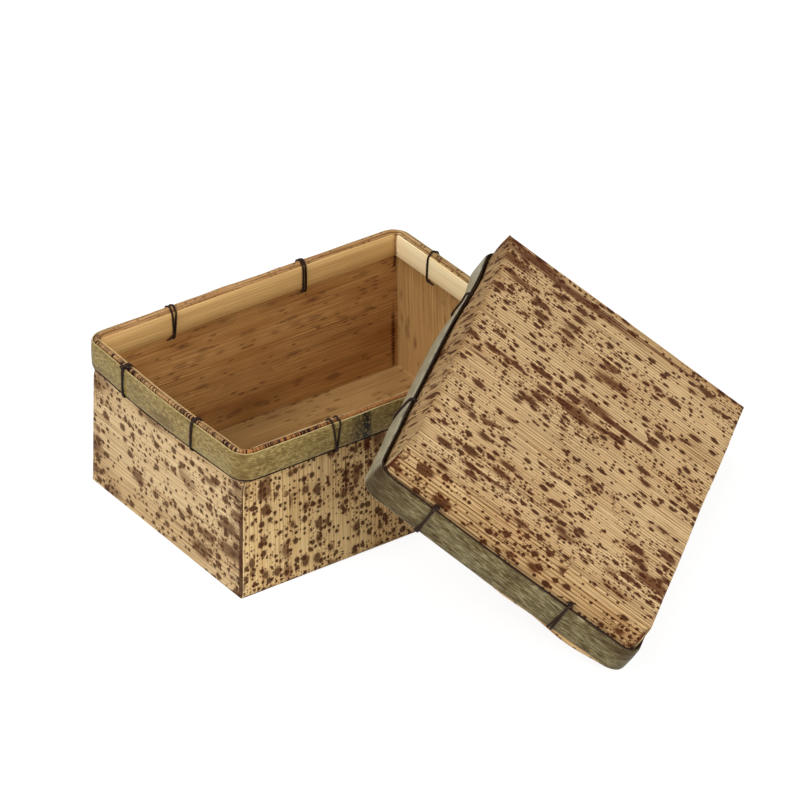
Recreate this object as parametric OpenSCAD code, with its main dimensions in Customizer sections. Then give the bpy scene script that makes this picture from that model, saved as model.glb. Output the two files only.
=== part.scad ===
// Two-part box of bamboo sheath: an open caddy and its lift-off lid.
// Each part is three crossed sheets of sheath. Its rim is folded over with a
// strip of sheath, clamped between split-bamboo bands and tied with cord.
// The caddy stands at the origin. The lid leans on the caddy's front right
// corner, with one long edge down on the surface that the caddy stands on.

/* [Caddy] */
// Outside length of the caddy at its base
caddy_length = 160; // [140:1:200]
// Outside width of the caddy at its base
caddy_width = 114; // [104:1:150]
// Height of the caddy from its base to the crest of its rim
caddy_height = 71.2; // [60:0.2:80]
// How far each short wall leans in from the base to the rim
end_wall_lean = 1.5; // [0:0.1:3]
// How far each long wall leans in from the base to the rim
side_wall_lean = 0.8; // [0:0.1:3]

/* [Lid] */
// Height of the lid from its rim to its top
lid_height = 27.2; // [25:0.1:32]
// Gap at each end between the caddy's outer band and the lid's inner band, closed
lid_end_gap = 5.9; // [2:0.1:8]
// Gap at each side between the caddy's outer band and the lid's inner band, closed
lid_side_gap = 2.2; // [2:0.1:6]
// How far each lid wall spreads from the top to the rim
lid_wall_flare = 0.6; // [0:0.1:2]

/* [Sheath sheets] */
// Thickness of one sheet of sheath
sheet = 0.45; // [0.3:0.05:0.8]

/* [Rim strips] */
// Thickness of the folded strip over the sheets' edge
strip_fold = 0.5; // [0.3:0.1:1]
// Thickness of the folded strip outside the walls
strip_outside = 1.4; // [1.2:0.1:2]
// Thickness of the folded strip inside the walls
strip_inside = 0.25; // [0.2:0.05:0.5]
// How far down the strip reaches from the crest of the rim
strip_reach = 11.5; // [6:0.5:12]

/* [Bands] */
// Height of the outer band
outer_band_height = 12.4; // [11.5:0.1:14]
// Thickness of the outer band
outer_band_thick = 1.2; // [0.8:0.1:2]
// Distance from the crest of the rim to the outer band
outer_band_drop = 1.1; // [0.8:0.1:1.6]
// Radius of the outer band's bends, on their outside
band_bend = 8.5; // [6:0.1:12]
// Length of the slanted lap that joins the outer band's ends
band_lap = 15; // [8:1:25]
// Height of each inner band
inner_band_height = 11; // [8:0.1:12]
// Thickness of each inner band
inner_band_thick = 0.9; // [0.6:0.1:1.5]
// Distance from the crest of the rim to the inner bands
inner_band_drop = 1.7; // [1:0.1:2.2]

/* [Cord] */
// Diameter of the cord of the ties
tie_cord = 0.85; // [0.6:0.05:1.2]
// Height and thickness of the cord under the outer band's edge
edge_cord = 0.8; // [0.5:0.1:1]
// Ties on the caddy's front, from its left and its right corner
caddy_front_ties = [45, 42]; // [20:1:50]
// Ties on the caddy's right side, from its front and its back corner
caddy_right_ties = [30, 26]; // [15:1:35]
// Ties on the caddy's back, from its right and its left corner
caddy_back_ties = [50, 40]; // [20:1:55]
// Ties on the caddy's left side, from its back and its front corner
caddy_left_ties = [29, 32]; // [15:1:40]
// Ties on the lid's front, the long side that is down, from its left and right corner
lid_front_ties = [36, 48]; // [20:1:60]
// Ties on the lid's right side, from its front and its back corner
lid_right_ties = [36, 22]; // [15:1:45]
// Ties on the lid's back, the long side that is up, from its right and left corner
lid_back_ties = [38, 52]; // [20:1:60]
// Ties on the lid's left side, from its back and its front corner
lid_left_ties = [26, 33]; // [15:1:45]

/* [Joins of the strips and bands] */
// Where the caddy's rim strips meet on the front, from the middle
caddy_front_join = -17; // [-20:1:20]
// Where the caddy's rim strips meet on the back, from the middle
caddy_back_join = 15; // [-15:1:20]
// Where the lid's rim strips meet, from the middle
lid_join = 10; // [-20:1:20]
// Middle of the lap in the caddy's outer band, on its front
caddy_lap = -22; // [-25:1:20]
// Middle of the lap in the lid's outer band, on its back
lid_lap = -47; // [-60:1:60]

/* [Resting place of the lid] */
// Turn of the lid's slope away from the caddy's length
lid_turn = 50.3; // [40:0.1:58]
// Gap between the lid's rim and the caddy's rim that it rests on
rest_gap = 0.3; // [0.3:0.1:0.9]
// Gap between the caddy's right side and the lid's end wall
end_gap = 0.35; // [0.3:0.05:3]
// Gap between the caddy's front right corner and the lid's underside
corner_gap = 3.6; // [1.5:0.1:4.5]

/* [Hidden] */
$fn = 48;
SEAT = 0.05;          // between a cord and what it lies on
HOLE_GAP = 0.15;      // round a cord in its hole through the wall
JOIN_GAP = 0.3;       // between two strip or band ends
BEND_WALL = 0.25;     // least thickness of the strip at a bend
TIE_BEND = 0.7;       // centre-line radius of a tie's corners
ROOT2 = sqrt(2);
FRONT = 0;
RIGHT = 1;
BACK = 2;
LEFT = 3;

wall = 2 * sheet;
outer_band_reach = strip_outside + outer_band_thick;
inner_band_reach = wall + strip_inside + inner_band_thick;
outer_band_foot = outer_band_drop + outer_band_height;
edge_cord_drop = outer_band_foot + SEAT + edge_cord / 2;
tie_drop = edge_cord_drop + edge_cord / 2 + SEAT + tie_cord / 2;
rim_zone = tie_drop + tie_cord / 2 + HOLE_GAP + 0.5;
band_inner_bend = band_bend - outer_band_thick;
// the sheets' own bend at the rim leaves the strip its least thickness
wall_bend = max(inner_band_reach + 0.5,
    band_inner_bend - (strip_outside * ROOT2 - BEND_WALL) / (ROOT2 - 1));

// A case is [length and width at its base, height, lean at the ends and sides].
// The base is the closed face, and the mouth is the open one.
caddy = [caddy_length, caddy_width, caddy_height, end_wall_lean, side_wall_lean];
function mouth_length(c) = c[0] - 2 * c[3];
function mouth_width(c) = c[1] - 2 * c[4];
lid_grow = outer_band_reach + inner_band_reach;
lid_mouth_length = mouth_length(caddy) + 2 * (lid_grow + lid_end_gap);
lid_mouth_width = mouth_width(caddy) + 2 * (lid_grow + lid_side_gap);
lid = [lid_mouth_length - 2 * lid_wall_flare, lid_mouth_width - 2 * lid_wall_flare,
    lid_height, -lid_wall_flare, -lid_wall_flare];

// Resting place of the lid. Its slope is the angle at which its rim strip
// clears the caddy's rim while the ties of its front side touch z = 0.
tie_corner = tie_cord / 2 + SEAT - TIE_BEND;
tie_foot = lid_mouth_width / 2 + outer_band_reach + tie_corner;
strip_edge = lid_mouth_width / 2 - wall - strip_inside;
rest_height = caddy_height + rest_gap - TIE_BEND - tie_cord / 2;
slope_reach = tie_foot + strip_edge;
lid_slope = asin(rest_height / norm([slope_reach, tie_corner])) - atan2(tie_corner, slope_reach);
lid_z = tie_foot * sin(lid_slope) + tie_corner * cos(lid_slope) + TIE_BEND + tie_cord / 2;
// the caddy's right side stops end_gap short of the inner band at the lid's right end
caddy_side_x = mouth_length(caddy) / 2 + outer_band_reach;
lid_end_inside = lid_mouth_length / 2 - inner_band_reach;
lid_x = caddy_side_x - sin(lid_turn) * (lid_end_inside - end_gap)
    + strip_edge * cos(lid_slope) * cos(lid_turn);
// the corner of the caddy's outer band reaches corner_gap from the lid's underside
corner_x = caddy_side_x - band_bend;
corner_y = mouth_width(caddy) / 2 + outer_band_reach - band_bend;
corner_out = corner_x * cos(lid_turn) + corner_y * sin(lid_turn) + band_bend;
corner_depth = lid_height - wall - corner_gap;
corner_rise = caddy_height - outer_band_drop - lid_z;
lid_out = corner_out - (corner_depth - corner_rise * cos(lid_slope)) / sin(lid_slope);
lid_y = (lid_x * cos(lid_turn) - lid_out) / sin(lid_turn);

// ---- plane shapes ----

// Rectangle with round corners, centred.
module round_rect(length, width, bend) {
    square([length - 2 * bend, width], center = true);
    square([length, width - 2 * bend], center = true);
    for (x = [-1, 1], y = [-1, 1])
        translate([x * (length / 2 - bend), y * (width / 2 - bend)]) circle(bend);
}

// Outline of a case's mouth, moved outwards by out. Its corners stay round.
module mouth_outline(c, out, bend) {
    round_rect(mouth_length(c) + 2 * out, mouth_width(c) + 2 * out, bend);
}

// Cross-section between two walls that lean in up to the rim zone and stand
// straight in it, from foot to top.
function lean_points(half, lean, knee, foot, top) = [
    [half - lean * foot / knee, foot], [half - lean, knee], [half - lean, top],
    [lean - half, top], [lean - half, knee], [lean * foot / knee - half, foot]];

// ---- the solid block that a case's walls enclose, inset from its outside ----

// Prism whose ends follow the short walls.
module length_prism(c, inset, foot, top) {
    rotate([90, 0, 0]) linear_extrude(2 * c[1], center = true)
        polygon(lean_points(c[0] / 2 - inset, c[3], c[2] - rim_zone, foot, top));
}

// Prism whose sides follow the long walls.
module width_prism(c, inset, foot, top) {
    rotate([90, 0, 90]) linear_extrude(2 * c[0], center = true)
        polygon(lean_points(c[1] / 2 - inset, c[4], c[2] - rim_zone, foot, top));
}

// Block with the long sides inset by side and the short ends inset by end.
// In the rim zone its corners are round.
module block(c, side, end, foot, top, bend) {
    intersection() {
        length_prism(c, end, foot, top);
        width_prism(c, side, foot, top);
        union() {
            translate([-c[0], -c[1], foot]) cube([2 * c[0], 2 * c[1], c[2] - rim_zone - foot]);
            translate([0, 0, foot]) linear_extrude(top - foot)
                round_rect(mouth_length(c) - 2 * end, mouth_width(c) - 2 * side, bend);
        }
    }
}

// ---- places on the rim ----

// Half the mouth's size across a side, and the length of that side.
function across(c, side) = (side % 2 == 0 ? mouth_width(c) : mouth_length(c)) / 2;
function along(c, side) = side % 2 == 0 ? mouth_length(c) : mouth_width(c);
// Where tie 0 or 1 of a side stands along that side.
function tie_place(c, side, insets, i) =
    i == 0 ? insets[0] - along(c, side) / 2 : along(c, side) / 2 - insets[1];

// Puts children at a place along a side: x runs along it, y points inwards from
// the wall's outer face, and z = 0 is the crest of the rim.
module on_side(c, side, place) {
    rotate([0, 0, 90 * side]) translate([place, -across(c, side), c[2]]) children();
}

// Holes for the cords of the ties, through both sheets of every wall.
module tie_holes(c, ties) {
    for (side = [FRONT : LEFT], i = [0, 1])
        on_side(c, side, tie_place(c, side, ties[side], i))
            translate([0, -wall, -tie_drop]) rotate([-90, 0, 0])
                cylinder(d = tie_cord + 2 * HOLE_GAP, h = 3 * wall);
}

// ---- the pieces of a case, standing on its closed face ----

module cross_wrap(c, ties) {
    difference() {
        intersection() {
            width_prism(c, 0, 0, c[2] - strip_fold);
            length_prism(c, 0, 0, c[2] - strip_fold);
        }
        width_prism(c, sheet, sheet, c[2]);
        // in the rim zone the sheet ends where the bends begin
        for (x = [-1, 1])
            translate([x * (mouth_length(c) - wall_bend), 0, c[2] - rim_zone / 2])
                cube([mouth_length(c), 2 * c[1], rim_zone], center = true);
        tie_holes(c, ties);
    }
}

module hoop(c, ties) {
    difference() {
        block(c, sheet, 0, sheet, c[2] - strip_fold, wall_bend);
        block(c, wall, sheet, 0, c[2], wall_bend - sheet);
        tie_holes(c, ties);
    }
}

module lining(c, ties) {
    difference() {
        block(c, wall, sheet, sheet, c[2] - strip_fold, wall_bend - sheet);
        length_prism(c, wall, wall, c[2]);
        for (y = [-1, 1])
            translate([0, y * (mouth_width(c) - wall_bend), c[2] - rim_zone / 2])
                cube([2 * c[0], mouth_width(c), rim_zone], center = true);
        tie_holes(c, ties);
    }
}

// One of the two folded strips. Left of the joins is true for the left one.
module rim_strip(c, joins, is_left) {
    top = c[2];
    turn = is_left ? -1 : 1;
    outside = wall_bend + strip_outside;
    intersection() {
        difference() {
            translate([0, 0, top - strip_reach]) linear_extrude(strip_reach) difference() {
                mouth_outline(c, strip_outside, band_inner_bend);
                mouth_outline(c, -wall - strip_inside, wall_bend - wall - strip_inside);
            }
            translate([0, 0, top - strip_reach - 1])
                linear_extrude(strip_reach + 1 - strip_fold) difference() {
                    mouth_outline(c, 0, wall_bend);
                    mouth_outline(c, -wall, wall_bend - wall);
                }
        }
        for (side = [0, 1])
            translate([joins[side] + turn * (c[0] + JOIN_GAP) / 2,
                (2 * side - 1) * c[1] / 2, top - strip_reach / 2])
                cube([c[0], c[1], 2 * strip_reach], center = true);
    }
}

// The outer band. Its lap is on the front, or on the back if at_back is true.
module outer_band(c, lap, at_back) {
    side = at_back ? 1 : -1;
    middle = mouth_width(c) / 2 + strip_outside + outer_band_thick / 2;
    slant = atan2(outer_band_thick, band_lap);
    translate([0, 0, c[2] - outer_band_foot]) linear_extrude(outer_band_height) difference() {
        mouth_outline(c, outer_band_reach, band_bend);
        mouth_outline(c, strip_outside, band_inner_bend);
        translate([lap, side * middle]) rotate(slant)
            square([2 * band_lap, JOIN_GAP / 2], center = true);
    }
}

// One straight inner band. The long ones run through to the corners.
module inner_band(c, side) {
    inside = wall + strip_inside;
    long_side = side % 2 == 0;
    reach = along(c, side) / 2 - (long_side ? 0 : inner_band_reach + JOIN_GAP / 2);
    translate([0, 0, c[2] - inner_band_drop - inner_band_height])
        linear_extrude(inner_band_height) intersection() {
            mouth_outline(c, -inside, wall_bend - inside);
            rotate(90 * side) translate([-reach, -across(c, side) + inside])
                square([2 * reach, inner_band_thick]);
        }
}

// Closed loop of cord: a rectangle of length by width with round corners.
module cord_loop(length, width, bend, thick) {
    for (s = [-1, 1]) {
        translate([bend - length / 2, s * width / 2, 0]) rotate([0, 90, 0])
            cylinder(d = thick, h = length - 2 * bend);
        translate([s * length / 2, bend - width / 2, 0]) rotate([-90, 0, 0])
            cylinder(d = thick, h = width - 2 * bend);
    }
    corners = [[1, 1], [-1, 1], [-1, -1], [1, -1]];
    for (i = [0 : 3])
        translate([corners[i][0] * (length / 2 - bend), corners[i][1] * (width / 2 - bend), 0])
            rotate([0, 0, 90 * i]) rotate_extrude(angle = 90) translate([bend, 0]) circle(d = thick);
}

// Thin ring of cord laid along the outer band's foot.
module edge_loop(c) {
    translate([0, 0, c[2] - edge_cord_drop - edge_cord / 2]) linear_extrude(edge_cord)
        difference() {
            mouth_outline(c, strip_outside + edge_cord, band_inner_bend + edge_cord);
            mouth_outline(c, strip_outside, band_inner_bend);
        }
}

// A tie: over the crest, down outside the outer band, through the wall and up
// inside the inner band.
module tie(c, side, insets, i) {
    around = SEAT + tie_cord / 2;
    deep = outer_band_reach + inner_band_reach + 2 * around;
    tall = tie_drop + around;
    middle = (inner_band_reach - outer_band_reach) / 2;
    on_side(c, side, tie_place(c, side, insets, i))
        translate([0, middle, around - tall / 2]) rotate([0, 90, 0])
            cord_loop(tall, deep, TIE_BEND, tie_cord);
}

// ---- caddy and lid ----

caddy_ties = [caddy_front_ties, caddy_right_ties, caddy_back_ties, caddy_left_ties];
lid_ties = [lid_front_ties, lid_right_ties, lid_back_ties, lid_left_ties];

// Turns a case over and leans it where the lid rests.
module lean_lid() {
    translate([lid_x, lid_y, lid_z]) rotate([0, 0, 90 - lid_turn]) rotate([lid_slope, 0, 0])
        translate([0, 0, lid_height]) mirror([0, 0, 1]) children();
}

module caddy_cross_wrap() { color("burlywood") cross_wrap(caddy, caddy_ties); }
module caddy_hoop() { color("tan") hoop(caddy, caddy_ties); }
module caddy_lining() { color("peru") lining(caddy, caddy_ties); }
module caddy_rim_strip(is_left) {
    color("chocolate") rim_strip(caddy, [caddy_front_join, caddy_back_join], is_left);
}
module caddy_outer_band() { color("darkkhaki") outer_band(caddy, caddy_lap, false); }
module caddy_inner_band(side) { color("wheat") inner_band(caddy, side); }
module caddy_edge_cord() { color("black") edge_loop(caddy); }
module caddy_tie(side, i) { color("black") tie(caddy, side, caddy_ties[side], i); }

module lid_cross_wrap() { color("burlywood") lean_lid() cross_wrap(lid, lid_ties); }
module lid_hoop() { color("tan") lean_lid() hoop(lid, lid_ties); }
module lid_lining() { color("peru") lean_lid() lining(lid, lid_ties); }
module lid_rim_strip(is_left) {
    color("chocolate") lean_lid() rim_strip(lid, [lid_join, lid_join], is_left);
}
module lid_outer_band() { color("darkkhaki") lean_lid() outer_band(lid, lid_lap, true); }
module lid_inner_band(side) { color("wheat") lean_lid() inner_band(lid, side); }
module lid_edge_cord() { color("black") lean_lid() edge_loop(lid); }
module lid_tie(side, i) { color("black") lean_lid() tie(lid, side, lid_ties[side], i); }

caddy_cross_wrap();
caddy_hoop();
caddy_lining();
caddy_rim_strip(true);  // caddy_rim_strip_left
caddy_rim_strip(false);  // caddy_rim_strip_right
caddy_outer_band();
caddy_inner_band(FRONT);  // caddy_inner_band_front
caddy_inner_band(RIGHT);  // caddy_inner_band_right
caddy_inner_band(BACK);  // caddy_inner_band_back
caddy_inner_band(LEFT);  // caddy_inner_band_left
caddy_edge_cord();
caddy_tie(FRONT, 0);  // caddy_tie_front_1
caddy_tie(FRONT, 1);  // caddy_tie_front_2
caddy_tie(RIGHT, 0);  // caddy_tie_right_1
caddy_tie(RIGHT, 1);  // caddy_tie_right_2
caddy_tie(BACK, 0);  // caddy_tie_back_1
caddy_tie(BACK, 1);  // caddy_tie_back_2
caddy_tie(LEFT, 0);  // caddy_tie_left_1
caddy_tie(LEFT, 1);  // caddy_tie_left_2
lid_cross_wrap();
lid_hoop();
lid_lining();
lid_rim_strip(true);  // lid_rim_strip_left
lid_rim_strip(false);  // lid_rim_strip_right
lid_outer_band();
lid_inner_band(FRONT);  // lid_inner_band_front
lid_inner_band(RIGHT);  // lid_inner_band_right
lid_inner_band(BACK);  // lid_inner_band_back
lid_inner_band(LEFT);  // lid_inner_band_left
lid_edge_cord();
lid_tie(FRONT, 0);  // lid_tie_front_1
lid_tie(FRONT, 1);  // lid_tie_front_2
lid_tie(RIGHT, 0);  // lid_tie_right_1
lid_tie(RIGHT, 1);  // lid_tie_right_2
lid_tie(BACK, 0);  // lid_tie_back_1
lid_tie(BACK, 1);  // lid_tie_back_2
lid_tie(LEFT, 0);  // lid_tie_left_1
lid_tie(LEFT, 1);  // lid_tie_left_2
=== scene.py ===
"""Looks of a two-part bamboo-sheath box: an open caddy and its lid that leans on it.

Laid out as an add-on. Run as a script, it builds every piece and the studio.
"""

import math

import bpy
import numpy as np
from bpy.props import FloatProperty, FloatVectorProperty, PointerProperty
from bpy.types import Operator, Panel, PropertyGroup
from mathutils import Matrix, Vector


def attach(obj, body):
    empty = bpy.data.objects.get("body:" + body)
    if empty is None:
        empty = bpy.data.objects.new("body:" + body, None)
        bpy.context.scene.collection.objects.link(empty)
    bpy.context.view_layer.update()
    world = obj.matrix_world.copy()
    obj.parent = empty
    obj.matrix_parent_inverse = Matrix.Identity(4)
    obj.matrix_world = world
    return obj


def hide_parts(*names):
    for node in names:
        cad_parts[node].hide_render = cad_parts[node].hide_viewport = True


bl_info = {
    "name": "Bamboo-sheath box",
    "version": (1, 0, 0),
    "blender": (4, 2, 0),
    "location": "View3D > Sidebar > Sheath box",
    "description": "Builds a lidded box of bamboo sheath, split bamboo and cord",
    "category": "Add Mesh",
}

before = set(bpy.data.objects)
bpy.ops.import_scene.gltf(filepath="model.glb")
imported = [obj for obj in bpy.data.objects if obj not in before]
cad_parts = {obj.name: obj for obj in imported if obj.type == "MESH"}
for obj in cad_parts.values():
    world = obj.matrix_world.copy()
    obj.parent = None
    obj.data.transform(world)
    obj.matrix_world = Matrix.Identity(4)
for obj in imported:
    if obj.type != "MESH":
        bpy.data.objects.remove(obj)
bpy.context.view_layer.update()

MM = 0.001

# ---- the box, in millimetres, each case standing on its closed face ----

SHEET = 0.45  # thickness of one sheet of sheath
WALL = 2 * SHEET
SHEET_TOP = 0.6  # from the crest of the rim to the sheets' edge
STRIP_OUTSIDE = 1.4  # thickness of the folded strip outside the walls
STRIP_INSIDE = 0.25
OUTER_BAND = (12.4, 1.2)  # height and thickness
INNER_BAND = (11.0, 0.9)
OUTER_DROP = 1.1  # from the crest of the rim to the outer band
INNER_DROP = 1.7
BAND_BEND = 8.5  # radius of the outer band's bends, on their outside
EDGE_CORD = 0.8
TIE_CORD = 0.85
SEAT = 0.05  # between a cord and what it lies on
HOLE_MARGIN = 0.65  # from a tie to the height where the walls stop leaning
OUTER_REACH = STRIP_OUTSIDE + OUTER_BAND[1]
INNER_REACH = WALL + STRIP_INSIDE + INNER_BAND[1]
OUTER_FOOT = OUTER_DROP + OUTER_BAND[0]
EDGE_DROP = OUTER_FOOT + SEAT + EDGE_CORD / 2
TIE_DROP = EDGE_DROP + EDGE_CORD / 2 + SEAT + TIE_CORD / 2
RIM_ZONE = TIE_DROP + TIE_CORD / 2 + HOLE_MARGIN
RIM_BEND = BAND_BEND - OUTER_BAND[1] - STRIP_OUTSIDE  # the walls' own bend at the rim

# the lid: its height, its lip's length and width, how far its walls spread to the lip, and
# where the middle of its mouth lies, in millimetres and degrees
LID_HEIGHT = 27.2
LID_LIP = (178.1, 126.1)
LID_FLARE = 0.6
LID_MOUTH = (47.344, -93.313, 37.1956)
LID_SLOPE = 33.655
LID_TURN = 50.3

SIDES = ("front", "right", "back", "left")
FRONT, RIGHT, BACK, LEFT = range(4)


def smooth(low, high, x):
    """0 below low, 1 above high, and a soft step between them."""
    t = np.clip((np.asarray(x, float) - low) / (high - low), 0, 1)
    return t * t * (3 - 2 * t)


class Case:
    """The caddy or the lid. Its own axes are x along it, y across it, z up to the mouth.

    base is the length and width of its closed face, lean how far its end and side walls
    lean in, and bow how far its front, right, back and left walls bulge at the rim.
    back_wall is how far the back wall is set in, then the depth, place and reach of its dent.
    A tie is its side, its place from the side's middle, its strands and its knot. A strand
    is its shift along the side at the crest, at the outer foot and at the inner foot.
    laps is where the strips meet in front and behind, and where the band's ends lap and
    whether that is behind. swells are swellings of the strips, and crowds are patches with
    more or fewer marks, each a place, a reach and a strength."""

    def __init__(
        self, name, base, height, lean, matrix, flipped, seed, bow, back_wall, ties, laps, swells, crowds
    ):
        self.name, self.height, self.lean = name, height, lean
        self.base = np.array(base) / 2
        self.mouth = self.base - np.array(lean)
        self.knee = height - RIM_ZONE
        self.matrix, self.flipped, self.seed = matrix, flipped, seed
        self.bow, self.back_wall, self.ties, self.laps = bow, back_wall, ties, laps
        self.swells, self.crowds = swells, crowds

    def half(self, z):
        """Half length and half width of the outer walls at height z."""
        t = np.clip(np.asarray(z, float) / self.knee, 0, 1)
        return self.base[0] - self.lean[0] * t, self.base[1] - self.lean[1] * t

    def bend(self, z, fold=1.0):
        """Radius of the walls' corners at height z: a tight fold that opens out to the rim."""
        return fold + (RIM_BEND - fold) * smooth(self.height - 20, self.height - 8, z)

    def warp(self, p):
        """Hand-made unevenness: each wall bows a little, most of all at the rim."""
        x, y, z = p[..., 0], p[..., 1], p[..., 2]
        up = smooth(0.1 * self.height, self.height, z)
        mid = 0.5 * up + 0.25 * np.sin(np.pi * np.clip(z / self.height, 0, 1))
        along_x = np.cos(0.5 * np.pi * np.clip(x / self.base[0], -1, 1)) ** 2
        along_y = np.cos(0.5 * np.pi * np.clip(y / self.base[1], -1, 1)) ** 2
        left = smooth(-0.55, -0.95, x / self.base[0])
        right = smooth(0.55, 0.95, x / self.base[0])
        front = smooth(-0.55, -0.95, y / self.base[1])
        back = smooth(0.55, 0.95, y / self.base[1])
        out = p.copy()
        out[..., 0] += mid * along_y * (self.bow[1] * right - self.bow[3] * left)
        out[..., 1] += mid * along_x * (self.bow[2] * back - self.bow[0] * front)
        # the back wall is set in along the closed face, and its mouth has a dent
        set_in, (dent, place, reach) = self.back_wall
        flat = smooth(1.05, 0.0, z / self.knee) * smooth(1.0, 0.84, np.abs(x) / self.base[0])
        pushed = np.exp(-(((x - place) / reach) ** 2)) * smooth(0.2, 0.75, z / self.height)
        out[..., 1] -= smooth(0.55, 0.95, y / self.base[1]) * (set_in * flat + dent * pushed)
        if not self.flipped:
            # the caddy's base stands on the floor and goes no lower
            out[..., 2] = np.maximum(out[..., 2], 0)
        return out

    def place(self, p):
        """Points of this case in the frame, in metres."""
        q = self.warp(np.asarray(p, float)) * MM
        m = np.array(self.matrix)
        return q @ m[:3, :3].T + m[:3, 3]


def lid_matrix():
    """From the lid's own axes to where it leans, upside down with its mouth below."""
    return (
        Matrix.Translation(Vector(LID_MOUTH) * MM)
        @ Matrix.Rotation(math.radians(90 - LID_TURN), 4, "Z")
        @ Matrix.Rotation(math.radians(LID_SLOPE), 4, "X")
        @ Matrix.Translation((0, 0, LID_HEIGHT * MM))
        @ Matrix.Diagonal((1, 1, -1, 1))
    )


CADDY = Case(
    "caddy",
    base=(160, 114),
    height=71.2,
    lean=(1.5, 0.8),
    matrix=Matrix.Identity(4),
    flipped=False,
    seed=11,
    bow=(0.2, 0.6, 0.4, 2.2),
    back_wall=(0.0, (0.0, 0, 1)),
    ties=[
        (FRONT, -33.5, [(-1.7, -0.3, -0.8), (1.9, 0.3, 0.6)], None),
        (FRONT, 36.5, [(0, 0, 0)], None),
        (RIGHT, -26.2, [(0, 0, 0)], None),
        (RIGHT, 30.2, [(-0.5, 0, 0.4)], "tail"),
        (BACK, -28.5, [(-0.6, 0, -0.7), (0.7, 0.4, 0.7)], None),
        (BACK, 38.5, [(-1.0, 0, -0.2), (0.9, 0.3, 0.3)], "tail"),
        (LEFT, -27.2, [(-0.5, 0.2, -0.4), (0.3, -0.4, 0.3)], "crest"),
        (LEFT, 24.2, [(0, -0.4, 0), (0.6, -0.3, 0.5)], None),
    ],
    laps={"strip": (-17, 15), "band": (-22, False)},
    swells=[((-20, 56), 40, 0.3), ((-79, 0), 30, 0.2)],
    crowds=[((-72, -57), (14, 9), 0.06)],
)
LID = Case(
    "lid",
    base=(LID_LIP[0] - 2 * LID_FLARE, LID_LIP[1] - 2 * LID_FLARE),
    height=LID_HEIGHT,
    lean=(-LID_FLARE, -LID_FLARE),
    matrix=lid_matrix(),
    flipped=True,
    seed=23,
    bow=(-0.6, 0.6, 0.5, 2.4),
    back_wall=(2.6, (2.6, 62, 22)),
    ties=[
        (FRONT, -53, [(0, 0, 0)], None),
        (FRONT, 41, [(0, 0, 0)], None),
        (RIGHT, -27, [(0, 0, 0)], None),
        (RIGHT, 41, [(0, 0, 0)], None),
        (BACK, -51, [(0.4, 0.3, 0), (-0.4, -0.3, 0)], None),
        (BACK, 37, [(0.5, 0.8, 0), (-0.4, 0, 0)], None),
        (LEFT, -37, [(-0.6, 0.3, 0), (0.7, -0.3, 0), (0.1, 0, 0)], "wrap"),
        (LEFT, 30.2, [(-0.8, 0.1, 0), (0.8, 0.4, 0)], "bead"),
    ],
    laps={"strip": (10, 10), "band": (-47, True)},
    swells=[((-88.5, -40), 14, 1.8), ((-88.5, -8), 12, 0.6), ((-40, 62), 20, 0.3)],
    crowds=[
        ((-30, -60), (30, 16), -0.2),
        ((52, -30), (24, 22), -0.14),
        ((-70, 10), (22, 50), 0.06),
        ((66, 42), (22, 18), 0.08),
    ],
)
CASES = (CADDY, LID)


# ---- meshes ----


def noise_1d(seed, x, pitch):
    """Smooth noise from -1 to 1 along x, one random value every pitch."""
    r = np.random.RandomState(seed)
    x = np.asarray(x, float) / pitch + 500.37
    values = r.uniform(-1, 1, 1200)
    i = np.floor(x).astype(int)
    t = x - i
    t = t * t * (3 - 2 * t)
    return values[i % 1200] * (1 - t) + values[(i + 1) % 1200] * t


def ribs(seed, u, pitch):
    """Rib profile of a sheath from 0 in a groove to 1 on a crest, across the fibres at u."""
    r = np.random.RandomState(seed)
    steps = pitch * r.uniform(0.84, 1.16, 400)
    edges = np.cumsum(steps) - 200 * pitch
    u = np.asarray(u, float)
    i = np.clip(np.searchsorted(edges, u) - 1, 0, len(edges) - 2)
    t = (u - edges[i]) / (edges[i + 1] - edges[i])
    height = r.uniform(0.74, 1.0, 400)[i]
    return height * np.sqrt(np.clip(np.sin(np.pi * np.clip(t, 0, 1)), 0, 1))


def grid_faces(n, m, start=0, wrap_n=False, wrap_m=False):
    """Quads of an n by m grid of points, its normal along n cross m."""
    i = np.arange(n if wrap_n else n - 1)
    j = np.arange(m if wrap_m else m - 1)
    a, b = np.meshgrid(i, j, indexing="ij")
    a2, b2 = (a + 1) % n, (b + 1) % m
    quads = np.stack([a * m + b, a2 * m + b, a2 * m + b2, a * m + b2], -1)
    return quads.reshape(-1, 4) + start


def stains_and_shadows(p, marks):
    """How strongly dark stains, and the painted shadows listed with them, cover each point, each mark a
    centre, its half sizes and its strength.
    """
    out = np.zeros(p.shape[:-1])
    for centre, reach, strength in marks:
        d = (p - np.array(centre, float)) / np.array(reach, float)
        out = np.maximum(out, strength * np.exp(-np.sum(np.abs(d) ** 3, -1)))
    return out


def aged_and_shaded(case, p):
    """How far the sheath is dulled and darkened at each point: painted shade under the band, and
    on the lid along its two ends and its back wall partly its own duller tone, partly painted shade."""
    x, y, z = (p[..., k] for k in range(3))
    # painted shade: darker just under the band
    under = smooth(case.knee - 6, case.knee + 1.5, z) * (0.8 if case.flipped else 0.5)
    if not case.flipped:
        return under
    # the lid's ends and back: partly the sheath's own duller tone, partly painted shade
    ends = smooth(case.base[0] - 14, case.base[0], x) * 0.7
    ends = ends + smooth(case.base[0] - 12, case.base[0] + 1, -x) * 0.6
    back = smooth(case.base[1] - 4, case.base[1] - 1, y) * 0.75
    return np.maximum(under, np.maximum(ends, back))


def crowding(case, p):
    """How much denser, or sparser where it is negative, the marks are at each point."""
    out = np.zeros(p.shape[:-1])
    for (x, y), reach, strength in case.crowds:
        out += strength * np.exp(-(((p[..., 0] - x) / reach[0]) ** 2) - ((p[..., 1] - y) / reach[1]) ** 2)
    return out


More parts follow.
